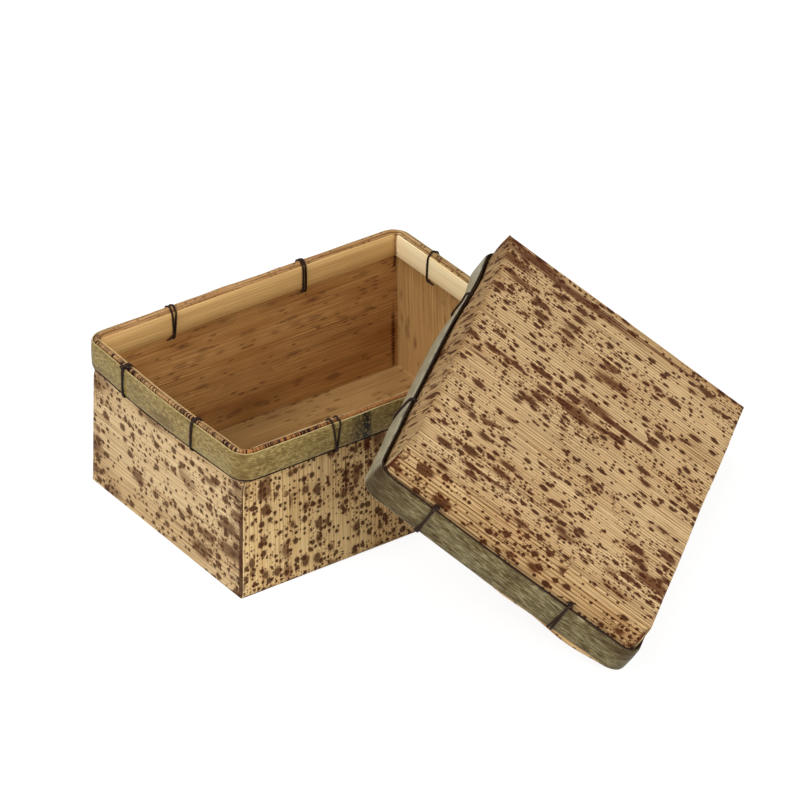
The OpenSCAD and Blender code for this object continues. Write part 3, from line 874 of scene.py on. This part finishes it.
def inner_band(case, side, material):
    """One straight shaved strip inside the rim. The long ones run through to the corners."""
    height, thick = INNER_BAND
    a, b = case.mouth
    inside = WALL + STRIP_INSIDE
    is_long = side in (FRONT, BACK)
    along, across = (a, b) if is_long else (b, a)
    # the long strips stop short of the corner's bend, the short ones butt against them
    reach = along - (inside if is_long else INNER_REACH + 0.15) - (0.9 if is_long else 0)
    x = np.linspace(-reach, reach, 120)
    top = case.height - INNER_DROP
    rise = 0.25 * noise_1d(case.seed + side, x, 40) + 0.06 * noise_1d(case.seed + side + 9, x, 3)
    rise = rise + (0.62 if side in (FRONT, LEFT) else 0.0)
    profile = [(0.0, 0.03), (0.0, 0.97), (0.3, 1.0), (0.75, 1.0), (1.0, 0.97)]
    profile += [(1.0, 0.7), (1.0, 0.35), (1.0, 0.03), (0.7, 0.0), (0.3, 0.0)]
    ring = []
    for t, h in profile:
        crown = 0.15 * (4 * h * (1 - h)) if t == 1.0 else 0
        y = -across + inside + (thick + crown) * t
        z = top - height * (1 - h) + rise * (1 if h > 0.5 else 0.5)
        ring.append(np.stack([x, np.full_like(x, y), z], -1))
    rings = np.stack(ring, 1) @ side_turn(side).T
    uv = pairs([height * h + t for t, h in profile], x[:, None], rings.shape[:2])
    obj = sweep(f"{case.name}_band_inside_{SIDES[side]}", rings, case, uv, closed=False)
    finish_piece(obj, case, material, [f"inner_band_{SIDES[side]}"])


def rim_strip(case, left, material):
    """One of the two lengths of sheath folded over the rim, ribbed across."""
    p, n, d = rim_loop(case, 0, RIM_BEND, 0.33)
    front, back = case.laps["strip"]
    keep_left = np.where(p[:, 1] < 0, p[:, 0] < front, p[:, 0] < back)
    keep = keep_left if left else ~keep_left
    if not left:
        # the right strip passes the loop's start: turn the loop round
        shift = int(np.argmax(keep_left))
        p, n, keep = (np.roll(v, -shift, 0) for v in (p, n, keep))
    p, n = p[keep], n[keep]
    step = np.linalg.norm(np.diff(p, axis=0), axis=1)
    d = np.concatenate([[0], np.cumsum(np.minimum(step, 2.0))])
    seed = case.seed + (31 if left else 47)
    rib = ribs(seed, d - 200, 1.5)
    crest = 0.2 * noise_1d(seed + 1, d, 16) + 0.1 * noise_1d(seed + 2, d, 3.5)
    # the strip swells here and there past the band's edge
    swell = np.zeros(len(p))
    for (x, y), reach, height in case.swells:
        swell += height * np.exp(-((np.hypot(p[:, 0] - x, p[:, 1] - y) / reach) ** 2))
    out, inn = STRIP_OUTSIDE - 0.12, -(WALL + STRIP_INSIDE)
    mid = (out + inn) / 2
    profile = [(out, -11.3), (out, -7.0), (out, -3.0), (out, -1.2)]
    profile += [(1.25, -0.95), (1.15, -0.6), (0.95, -0.36), (0.65, -0.22), (0.3, -0.2)]
    profile += [(-0.05, -0.32), (-0.45, -0.6), (-0.8, -0.95), (-1.1, -1.25)]
    profile += [(inn, -1.3), (inn, -4.0), (inn, -11.3), (inn + 0.2, -11.4), (inn + 0.22, -2.6)]
    profile += [(mid, -2.2), (out - 0.35, -2.6), (out - 0.3, -11.4)]
    ring = []
    for k, (o, z) in enumerate(profile):
        up = 1.0 if z > -1.29 else 0.0
        bulge = 0.5 * swell if o > 0.6 and z > -3.5 and k < 14 else 0.0
        offset = o + 0.06 * (rib - 0.5) * (1 if k < 14 else 0) * (1 if o > mid else -0.4) + bulge
        height = case.height + z + up * (crest + swell + 0.06 * (rib - 0.5))
        ring.append(raised(p, n, offset, height))
    rings = np.stack(ring, 1)
    steps = [math.hypot(a[0] - b[0], a[1] - b[1]) for a, b in zip(profile[1:], profile)]
    uv = pairs(d[:, None], np.cumsum([0] + steps), rings.shape[:2])
    # the near walls' marks run across the fold, the others are fine and run along it
    near = 0 if case.flipped else 1
    left_wall, front_wall = smooth(-0.3, -0.8, n[:, 0]), smooth(-0.3, -0.8, n[:, 1])
    ruddy = np.maximum(0.35 * left_wall, 0.9 * front_wall) * near
    ruddy = np.maximum(ruddy, 0.4 * smooth(0.3, 0.8, n[:, 1]) * near)
    barred = np.maximum(left_wall, front_wall * smooth(-26, -36, p[:, 0])) * near
    word = "left" if left else "right"
    fields = {"barred": barred[:, None], "ruddy": ruddy[:, None]}
    obj = sweep(f"{case.name}_strip_{word}", rings[:, ::-1], case, uv[:, ::-1], fields, closed=False)
    finish_piece(obj, case, material, [f"rim_strip_{word}"])


def tube(name, centres, radius, case, closed, sides=8):
    """A round cord along centres, in a case's own axes."""
    c = np.asarray(centres, float)
    tangent = np.roll(c, -1, 0) - np.roll(c, 1, 0) if closed else np.gradient(c, axis=0)
    tangent /= np.linalg.norm(tangent, axis=1)[:, None]
    # a frame carried along the path without twist
    up = np.array([0, 0, 1.0]) if abs(tangent[0, 2]) < 0.9 else np.array([1.0, 0, 0])
    ups = []
    for t in tangent:
        up = up - t * (up @ t)
        up /= np.linalg.norm(up)
        ups.append(up)
    up = np.array(ups)
    side = np.cross(tangent, up)
    g = np.arange(sides) / sides * 2 * np.pi
    radius = np.broadcast_to(radius, (len(c),))
    rings = c[:, None] + radius[:, None, None] * (
        np.cos(g)[None, :, None] * side[:, None] + np.sin(g)[None, :, None] * up[:, None]
    )
    d = np.concatenate([[0], np.cumsum(np.linalg.norm(np.diff(c, axis=0), axis=1))])
    uv = pairs(g * 0.4, d[:, None], rings.shape[:2])
    return sweep(name, rings[:, ::-1], case, uv[:, ::-1], closed=closed)


def edge_cord(case, material):
    """The thin cord laid along the outer band's foot."""
    middle = STRIP_OUTSIDE + EDGE_CORD / 2
    p, n, d = rim_loop(case, middle, BAND_BEND - OUTER_BAND[1] + EDGE_CORD / 2, 1.6)
    p = p + n * (0.15 * noise_1d(case.seed + 5, d, 17))[:, None]
    rise = 0.35 * noise_1d(case.seed, d, 45) + 0.1 * noise_1d(case.seed + 3, d, 9)
    z = case.height - EDGE_DROP - 0.02 + rise
    thin = EDGE_CORD / 2 * (0.8 + 0.15 * noise_1d(case.seed + 8, d, 6))
    obj = tube(f"{case.name}_cord_edge", np.concatenate([p, z[:, None]], 1), thin, case, True)
    finish_piece(obj, case, material, ["edge_cord"])


def smooth_path(points, closed, rounds=2):
    """A soft curve through points, by corner cutting."""
    p = np.asarray(points, float)
    for _ in range(rounds):
        q = np.roll(p, -1, 0) if closed else p[1:]
        a = p if closed else p[:-1]
        cut = np.stack([0.75 * a + 0.25 * q, 0.25 * a + 0.75 * q], 1).reshape(-1, 3)
        p = cut if closed else np.concatenate([p[:1], cut, p[-1:]])
    return p


def tie(case, index, entry, material):
    """One cord tie over both bands and through the wall, with its knot."""
    side, place, strands, knot = entry
    a, b = case.mouth
    wall = -(b if side in (FRONT, BACK) else a)
    r = TIE_CORD / 2
    top = case.height
    turn = side_turn(side)
    outer, inner = OUTER_REACH + r + 0.16, INNER_REACH + r + 0.08
    # (outwards from the wall, up from the crest, share of the way crest to outer foot or inner foot)
    over = [
        (outer, -OUTER_FOOT + 1.2, 1.0, 0),
        (outer + 0.06, -9.5, 0.75, 0),
        (outer + 0.1, -6.5, 0.5, 0),
        (outer + 0.06, -3.5, 0.25, 0),
        (outer, -OUTER_DROP - 0.9, 0.0, 0),
        (OUTER_REACH + 0.1, -OUTER_DROP + r + 0.1, 0.0, 0),
        (1.9, -OUTER_DROP + r + 0.35, 0.0, 0),
        (1.2, -0.3 + r, 0.0, 0),
        (0.55, 0.05 + r, 0.0, 0),
        (-0.35, 0.05 + r, 0.0, 0),
        (-1.15, -0.55 + r, 0.0, 0),
        (-1.6, -INNER_DROP + r + 0.35, 0.0, 0),
        (-INNER_REACH - 0.1, -INNER_DROP + r + 0.05, 0, 0.0),
        (-inner, -INNER_DROP - 0.9, 0, 0.1),
        (-inner - 0.1, -5.0, 0, 0.35),
        (-inner - 0.1, -8.5, 0, 0.65),
        (-inner, -12.6, 0, 1.0),
        (-inner + 0.5, -TIE_DROP + 0.5, 0, 1.0),
        (-WALL, -TIE_DROP, 0, 1.0),
        (0.0, -TIE_DROP, 1.0, 0),
        (1.3, -TIE_DROP, 1.0, 0),
        (2.1, -TIE_DROP + 0.1, 1.0, 0),
        (2.65, -TIE_DROP + 0.6, 1.0, 0),
        (outer - 0.12, -TIE_DROP + 1.3, 1.0, 0),
    ]
    parts = []
    for crest, foot, inside in strands:
        pts = [
            (place + crest + (foot - crest) * to_foot + (inside - crest) * to_inside, wall - out, top + up)
            for out, up, to_foot, to_inside in over
        ]
        parts.append((smooth_path(np.array(pts) @ turn.T, True), True, r))

    def loop(s, out, up, wide, deep, tall):
        q = np.linspace(0, 2 * math.pi, 12, endpoint=False)
        x, y = s + wide * np.cos(q), wall - out - deep * np.sin(q)
        ring = np.stack([x, y, top + up + tall * np.sin(2 * q + 0.5)], -1)
        parts.append((smooth_path(ring @ turn.T, True), True, r * 0.9))

    def end(points):
        pts = [(place + s, wall - out, top + up) for s, out, up in points]
        parts.append((smooth_path(np.array(pts) @ turn.T, False), False, r * 0.85))

    if knot == "crest":
        loop(place + strands[0][0], OUTER_REACH + 0.3, -OUTER_DROP + 0.9, 1.0, 0.6, 0.35)
        end([(0.2, 2.4, 0.1), (1.2, 2.0, 0.6), (2.4, 1.4, 0.8), (3.4, 0.9, 0.75)])
    if knot == "tail":
        way = 1 if side == BACK else -1
        s = strands[0][2]
        # along the side, inwards past the band's face, and down
        run = ((0, 0, -12.4), (1, 0.2, -13.6), (2.3, 0.7, -14.2), (3.4, 0.9, -14.5))
        end([(s + way * x, -inner + y, z) for x, y, z in run])
    if knot in ("wrap", "bead"):
        loop(place + strands[0][1], 1.2, -TIE_DROP - 0.5, 1.2, 0.7, 0.45)
        end([(0.6, 1.0, -TIE_DROP - 0.6), (1.4, 0.9, -TIE_DROP - 1.3), (1.9, 0.8, -TIE_DROP - 1.9)])
    word = SIDES[side]
    # all strands and the knot of one tie are one piece
    name = f"{case.name}_cord_{word}_{index}"
    objs = [tube(f"{name}_{k}", c, radius, case, closed) for k, (c, closed, radius) in enumerate(parts)]
    first = objs[0]
    if len(objs) > 1:
        picked = {"active_object": first, "selected_editable_objects": objs, "selected_objects": objs}
        with bpy.context.temp_override(**picked):
            bpy.ops.object.join()
    first.name = name
    finish_piece(first, case, material, [f"tie_{word}_{index}"])


# ---- properties ----


class BOX_PG_sheath(PropertyGroup):
    rib_pitch: FloatProperty(
        name="Rib pitch",
        description="Distance between the ribs of the caddy's sheath",
        default=2.1 * MM,
        unit="LENGTH",
    )
    lid_rib_pitch: FloatProperty(
        name="Lid rib pitch",
        description="Distance between the ribs of the lid's sheath",
        default=1.82 * MM,
        unit="LENGTH",
    )
    lid_rib_height: FloatProperty(
        name="Lid rib height", description="Height of the ribs on the lid", default=0.34 * MM, unit="LENGTH"
    )
    caddy_rib_height: FloatProperty(
        name="Caddy rib height",
        description="Height of the ribs on the caddy",
        default=0.16 * MM,
        unit="LENGTH",
    )
    inside_rib_height: FloatProperty(
        name="Inside rib height",
        description="Height of the ribs inside both cases",
        default=0.1 * MM,
        unit="LENGTH",
    )


class BOX_PG_colours(PropertyGroup):
    white: FloatVectorProperty(
        name="Floor",
        description="Colour of the floor and the backdrop",
        default=(1.0, 1.0, 1.0),
        subtype="COLOR",
    )


class BOX_PG_light(PropertyGroup):
    key: FloatProperty(name="Key light", description="Power of the key light", default=27.0, unit="POWER")
    fill: FloatProperty(
        name="Fill light", description="Power of the fill light", default=27.0, unit="POWER"
    )
    top: FloatProperty(name="Top light", description="Power of the light above", default=3.0, unit="POWER")
    sky: FloatProperty(
        name="Surroundings", description="Brightness of the white surroundings", default=0.35
    )


# ---- operators ----

# crest, body, line and warm patch; the crest colour also paints the highlight on the ribs' crests, and the
# line colour the shade in the grooves as well as dark fibre lines
STRAW = ("e4c994", "c9a670", "8a6436", "c08e55")
LID_STRAW = ("d1b487", "af8c5e", "512e12", "ae7f4e")
PALE = ("e0c79c", "c4a375", "75532f", "ad8754")
HUSK = ("cb9a60", "ad7e46", "744b26", "9b6633")
LINING = ("bf9a66", "aa8350", "8c683c", "9c7444")
# size in mm, length over width, share of places, softness, ink and strength
LID_MARKS = (
    (7.0, 2.6, 0.14, 0.13, "4f2a12", 0.88),
    (4.4, 1.9, 0.3, 0.095, "3f1d09", 0.94),
    (2.7, 1.5, 0.36, 0.075, "361504", 0.97),
    (1.5, 1.15, 0.36, 0.06, "321203", 0.97),
    (0.8, 1.2, 0.16, 0.06, "381504", 0.85),
)
FRONT_MARKS = (
    (7.0, 1.6, 0.14, 0.13, "57371d", 0.8),
    (4.1, 1.3, 0.32, 0.09, "4a2c16", 0.88),
    (2.6, 1.15, 0.4, 0.07, "402311", 0.94),
    (1.5, 1.1, 0.42, 0.06, "381c0c", 0.95),
    (0.8, 1.1, 0.2, 0.06, "3a1e0e", 0.8),
)
SIDE_MARKS = (
    (11.0, 1.9, 0.36, 0.17, "6a4d33", 0.6),
    (6.2, 1.8, 0.38, 0.11, "573b23", 0.76),
    (3.1, 1.3, 0.4, 0.075, "492d18", 0.88),
    (1.7, 1.2, 0.4, 0.06, "3f2612", 0.92),
    (0.8, 1.3, 0.2, 0.06, "412814", 0.8),
)
FAINT_MARKS = (
    (9.0, 4.0, 0.3, 0.3, "6a4a2c", 0.22),
    (3.0, 2.6, 0.18, 0.14, "5a3c22", 0.4),
    (1.2, 2.8, 0.12, 0.1, "4e341c", 0.45),
)

# dark stains and painted shadows: centre and half sizes in mm, and strength
WRAP_STAINS = {
    "caddy": (
        ((-16.5, -57, 60), (1.9, 3, 12), 0.9),
        ((-27, -57, 41), (1.7, 3, 8), 0.8),
        ((-55, -57, 39), (1.2, 3, 4.5), 0.7),
    ),
    "lid": (
        ((82.5, 48, 0), (3.6, 17, 20), 1.0),
        ((84, 60, 4), (6, 5, 12), 0.8),
        ((80, 20, 0), (2.8, 32, 20), 0.85),
        ((81.5, -20, 0), (1.8, 22, 5), 0.7),
        ((-81, 60.4, 0), (6, 0.35, 3), 1.5),
        ((-70.5, 27, 0), (1.6, 14, 5), 0.8),
        ((17, -20, 0), (1.9, 14, 5), 1.0),
        ((20.5, -34, 0), (1.1, 5, 5), 0.6),
        ((9.5, 44, 0), (1.3, 9, 5), 0.8),
        ((-1, 51, 0), (1.2, 8, 5), 0.65),
        ((-37.5, 49, 0), (2.8, 7, 5), 0.65),
        ((27.5, 42, 0), (0.8, 24, 5), 0.55),
        ((30.5, 40, 0), (0.7, 20, 5), 0.5),
        ((46, 20, 0), (2.2, 4, 5), 0.75),
    ),
}
# painted shadow: the dark line that the lining's side edges throw in the corners, painted onto the lining
LINING_EDGE_SHADOWS = tuple(((x, y, 50), (6, 0.45, 40), 1.0) for x in (-78, 78) for y in (-55.7, 55.7))
HOOP_STAINS_AND_SHADOW = {
    "caddy": (
        ((-80, -57.2, 35), (9, 1.5, 90), 2.4),
        # painted shadow of the lining's side edge, on the hoop's inner face by the back right corner
        ((76.9, 56.5, 36), (0.65, 3, 40), 1.1),
        ((-80, -53, 50), (9, 7, 8), 0.6),
        ((-80, -53, 24), (9, 6, 26), 0.42),
        ((-80, 20, 33.5), (9, 34, 0.45), 0.6),
        ((-80, -14, 12), (9, 14, 0.45), 0.55),
        ((-80, -47, 28), (9, 8, 2.4), 0.5),
        ((-80, 8, 53), (9, 11, 1.6), 0.6),
    ),
    "lid": (
        ((-88.4, 62.4, 14), (9, 0.8, 40), 1.4),
        ((-88.4, -62.4, 14), (9, 0.8, 40), 1.2),
        ((88, 62, 14), (9, 4, 40), 0.9),
    ),
}


class BOX_OT_sheets(Operator):
    """Builds the crossed sheets of sheath of both cases"""

    bl_idname = "sheath_box.sheets"
    bl_label = "Sheets of sheath"

    def execute(self, context):
        look = context.scene.box_sheath
        inside = look.inside_rib_height / MM
        for case in CASES:
            word, seed, lid = case.name, case.seed, case is LID
            pitch = (look.lid_rib_pitch if lid else look.rib_pitch) / MM
            high = (look.lid_rib_height if lid else look.caddy_rib_height) / MM
            # radius and straight end of the sheets' turn round the closed face's edges
            edge = (2.0, 0.8) if lid else (0.5, 0.0)
            fold, foot = (0.8, 0.7) if lid else (1.5, 0.12)
            darkened = WRAP_STAINS[word]
            wrap = u_sheet(f"{word}_sheet_wrap", case, False, fold, 0.3, edge, pitch, high, seed, darkened)
            # the lid's hoop carries on the wrap's ribs, the caddy's has its own
            own, darkened = seed + (0 if lid else 100), HOOP_STAINS_AND_SHADOW[word]
            hoop, outside = hoop_sheet(f"{word}_sheet_hoop", case, foot, edge, pitch, high, own, darkened)
            name, own = f"{word}_sheet_lining", seed + 200
            lining = u_sheet(name, case, True, 1.0, 0.35, (1.0, 0), pitch, inside, own, LINING_EDGE_SHADOWS)
            name = f"bamboo_sheath_dried_{word}_"
            # strength of the painted highlight on the crests and of the painted shade in the grooves
            groove, cut = (0.6, 0.95) if lid else (0.3, 0.3)
            straw, marks = (LID_STRAW, LID_MARKS) if lid else (STRAW, FRONT_MARKS)
            husk = sheath_material(name + "wrap", seed, straw, marks, groove, cut)
            finish_piece(wrap, case, husk, ["cross_wrap"])
            if not lid:
                husk = sheath_material(name + "hoop", seed + 4, PALE, SIDE_MARKS, 0.35, 0.35, 0.2, "3c1c0d")
            finish_piece(hoop, case, husk, ["hoop"])
            # the sheath's smooth inner face
            name = f"bamboo_sheath_inner_face_{word}_"
            face = sheath_material(name + "hoop", seed + 6, HUSK, FAINT_MARKS, 0.2, 0.0, 0.75)
            hoop.data.materials.append(face)
            faces = np.zeros(len(hoop.data.polygons), dtype=np.int32)
            faces[outside : 2 * outside] = 1
            hoop.data.polygons.foreach_set("material_index", faces)
            face = sheath_material(name + "lining", seed + 8, LINING, FAINT_MARKS, 0.2, 0.0, 0.4)
            finish_piece(lining, case, face, ["lining"])
        return {"FINISHED"}


class BOX_OT_strips(Operator):
    """Builds the strips folded over both rims"""

    bl_idname = "sheath_box.strips"
    bl_label = "Rim strips"

    def execute(self, context):
        for case in CASES:
            for left in (True, False):
                word = "left" if left else "right"
                name = f"bamboo_sheath_folded_{case.name}_{word}"
                material = rim_sheath_material(name, case.seed + left)
                rim_strip(case, left, material)
        return {"FINISHED"}


# skin, worn grey, brown, lichen fleck, scorch and cut edge
SKIN = {
    "caddy": ("826d39", "8a7948", "5a431f", "b9a56c", "160e07", "d8c08c"),
    # the lid's colours are painted darker than the caddy's, partly painted shade for the lid's sides that the
    # light reaches less
    "lid": ("594b2a", "675d40", "36250d", "99906c", "160e07", "b09a6c"),
}


class BOX_OT_outer_bands(Operator):
    """Builds the bent outer bands"""

    bl_idname = "sheath_box.outer_bands"
    bl_label = "Outer bands"

    def execute(self, context):
        for case in CASES:
            name, stretch = f"split_bamboo_skin_{case.name}", 2.6 if case is LID else 1
            outer_band(case, bamboo_skin_material(name, case.seed, stretch, SKIN[case.name]))
        return {"FINISHED"}


# painted light and shade: each side's shaved band has its own pale and darker tone, the right one painted
# palest and the back one darkest for how the light falls on them
FLESH_PAINTED_SHADE_BY_SIDE = {
    FRONT: ("eed8a4", "d8b676"),
    RIGHT: ("fbedc8", "efd5a0"),
    BACK: ("d4b072", "b68a50"),
    LEFT: ("e6ca94", "cca566"),
}


class BOX_OT_inner_bands(Operator):
    """Builds the straight inner bands"""

    bl_idname = "sheath_box.inner_bands"
    bl_label = "Inner bands"

    def execute(self, context):
        for case in CASES:
            for side in (FRONT, RIGHT, BACK, LEFT):
                name = f"split_bamboo_shaved_{case.name}_{side}"
                material = bamboo_flesh_material(name, case.seed + side * 3.3, *FLESH_PAINTED_SHADE_BY_SIDE[side])
                inner_band(case, side, material)
        return {"FINISHED"}


class BOX_OT_cords(Operator):
    """Builds the edge cords and the ties"""

    bl_idname = "sheath_box.cords"
    bl_label = "Cords"

    def execute(self, context):
        material = cord_material("waxed_cord_twisted")
        for case in CASES:
            edge_cord(case, material)
            seen = {}
            for entry in case.ties:
                seen[entry[0]] = seen.get(entry[0], 0) + 1
                tie(case, seen[entry[0]], entry, material)
        return {"FINISHED"}


FLOOR_HALF = 3.0
FLOOR_GLOW, FLOOR_SHADE, FLOOR_BOUNCE = 0.84, 0.26, 0.82
LAMP_AIM = (0.04, -0.03, 0.04)
LENS, SENSOR = 288.18, 36.0
CAMERA_TURN = (-35.419, 31.793, 0.167)  # round the box, above it and rolled, in degrees
CAMERA_AIM, CAMERA_AWAY = (0.064209, 0.033292, 0), 2.7829


def white_floor(scene, white):
    """White to the camera, and a plain white bounce to everything else."""
    mesh = bpy.data.meshes.new("floor")
    s = FLOOR_HALF
    mesh.from_pydata([(-s, -s, 0), (s, -s, 0), (s, s, 0), (-s, s, 0)], [], [(0, 1, 2, 3)])
    floor = bpy.data.objects.new("floor", mesh)
    scene.collection.objects.link(floor)
    material = bpy.data.materials.new("white_card_floor")
    tree = new_tree(material)
    # the sheet is bright enough to read as white, and the shadow lies on it
    seen = add(tree, "Emission", {"Color": white, "Strength": FLOOR_GLOW})
    shaded = add(tree, "BsdfDiffuse", {"Color": (*[FLOOR_SHADE] * 3, 1)})
    sheet = add(tree, "AddShader", (seen.outputs[0], shaded.outputs[0]))
    card = add(tree, "BsdfDiffuse", {"Color": (*[FLOOR_BOUNCE] * 3, 1)})
    both = add(tree, "MixShader", (in_view(tree), card.outputs[0], sheet.outputs[0]))
    add(tree, "OutputMaterial", {"Surface": both.outputs[0]})
    mesh.materials.append(material)


def white_surroundings(scene, white, strength):
    """White to the camera, and dimmer as light on the box."""
    scene.world = bpy.data.worlds.new("white_surroundings")
    tree = new_tree(scene.world)
    dim = add(tree, "Background", {"Color": white, "Strength": strength})
    full = add(tree, "Background", {"Color": white, "Strength": 1.0})
    both = add(tree, "MixShader", (in_view(tree), dim.outputs[0], full.outputs[0]))
    add(tree, "OutputWorld", {"Surface": both.outputs[0]})


def square_lamp(scene, name, spot, size, watts, tint):
    data = bpy.data.lights.new(name, "AREA")
    data.shape, data.size, data.energy, data.color = "SQUARE", size, watts, tint
    lamp = bpy.data.objects.new(name, data)
    lamp.location = spot
    lamp.rotation_euler = (Vector(LAMP_AIM) - Vector(spot)).to_track_quat("-Z", "Y").to_euler()
    scene.collection.objects.link(lamp)


def box_camera(scene):
    data = bpy.data.cameras.new("camera")
    data.sensor_width, data.sensor_fit = SENSOR, "HORIZONTAL"
    data.lens, data.clip_end = LENS, 20.0
    camera = bpy.data.objects.new("camera", data)
    az, el, roll = (math.radians(v) for v in CAMERA_TURN)
    back = Vector((math.sin(az) * math.cos(el), -math.cos(az) * math.cos(el), math.sin(el)))
    right = Vector((math.cos(az), math.sin(az), 0))
    up = back.cross(right)
    sin, cos = math.sin(roll), math.cos(roll)
    right, up = right * cos + up * sin, up * cos - right * sin
    spot = Vector(CAMERA_AIM) + back * CAMERA_AWAY
    camera.matrix_world = Matrix((*zip(right, up, back, spot), (0, 0, 0, 1)))
    scene.collection.objects.link(camera)
    scene.camera = camera


class BOX_OT_stage(Operator):
    """Builds the floor, the lights and the camera"""

    bl_idname = "sheath_box.stage"
    bl_label = "Floor, lights and camera"

    def execute(self, context):
        scene, light = context.scene, context.scene.box_light
        white = [*scene.box_colours.white, 1.0]
        white_floor(scene, white)
        white_surroundings(scene, white, light.sky)
        square_lamp(scene, "key", (-1.5, -0.25, 1.35), 0.9, light.key, (1.0, 0.985, 0.96))
        square_lamp(scene, "fill", (0.35, -1.7, 0.8), 1.4, light.fill, (1.0, 1.0, 1.0))
        square_lamp(scene, "top", (0.25, 0.15, 1.7), 0.8, light.top, (1.0, 1.0, 1.0))
        box_camera(scene)
        scene.view_settings.view_transform = "Standard"
        return {"FINISHED"}


class BOX_PT_panel(Panel):
    """Lists the sizes, the colours and the operators"""

    bl_idname = "BOX_PT_panel"
    bl_label = "Sheath box"
    bl_space_type = "VIEW_3D"
    bl_region_type = "UI"
    bl_category = "Sheath box"

    def draw(self, context):
        layout = self.layout
        for group in (context.scene.box_sheath, context.scene.box_colours, context.scene.box_light):
            for key in group.__annotations__:
                layout.prop(group, key)
        for operator in OPERATORS:
            layout.operator(operator.bl_idname)


OPERATORS = (BOX_OT_sheets, BOX_OT_strips, BOX_OT_outer_bands, BOX_OT_inner_bands, BOX_OT_cords, BOX_OT_stage)
GROUPS = {"box_sheath": BOX_PG_sheath, "box_colours": BOX_PG_colours, "box_light": BOX_PG_light}


def register():
    for item in (*GROUPS.values(), *OPERATORS, BOX_PT_panel):
        bpy.utils.register_class(item)
    for key, group in GROUPS.items():
        setattr(bpy.types.Scene, key, PointerProperty(type=group))


def unregister():
    for key in GROUPS:
        delattr(bpy.types.Scene, key)
    for item in reversed((*GROUPS.values(), *OPERATORS, BOX_PT_panel)):
        bpy.utils.unregister_class(item)


def main():
    register()
    for operator in OPERATORS:
        group, name = operator.bl_idname.split(".")
        getattr(getattr(bpy.ops, group), name)()


if __name__ == "__main__":
    main()
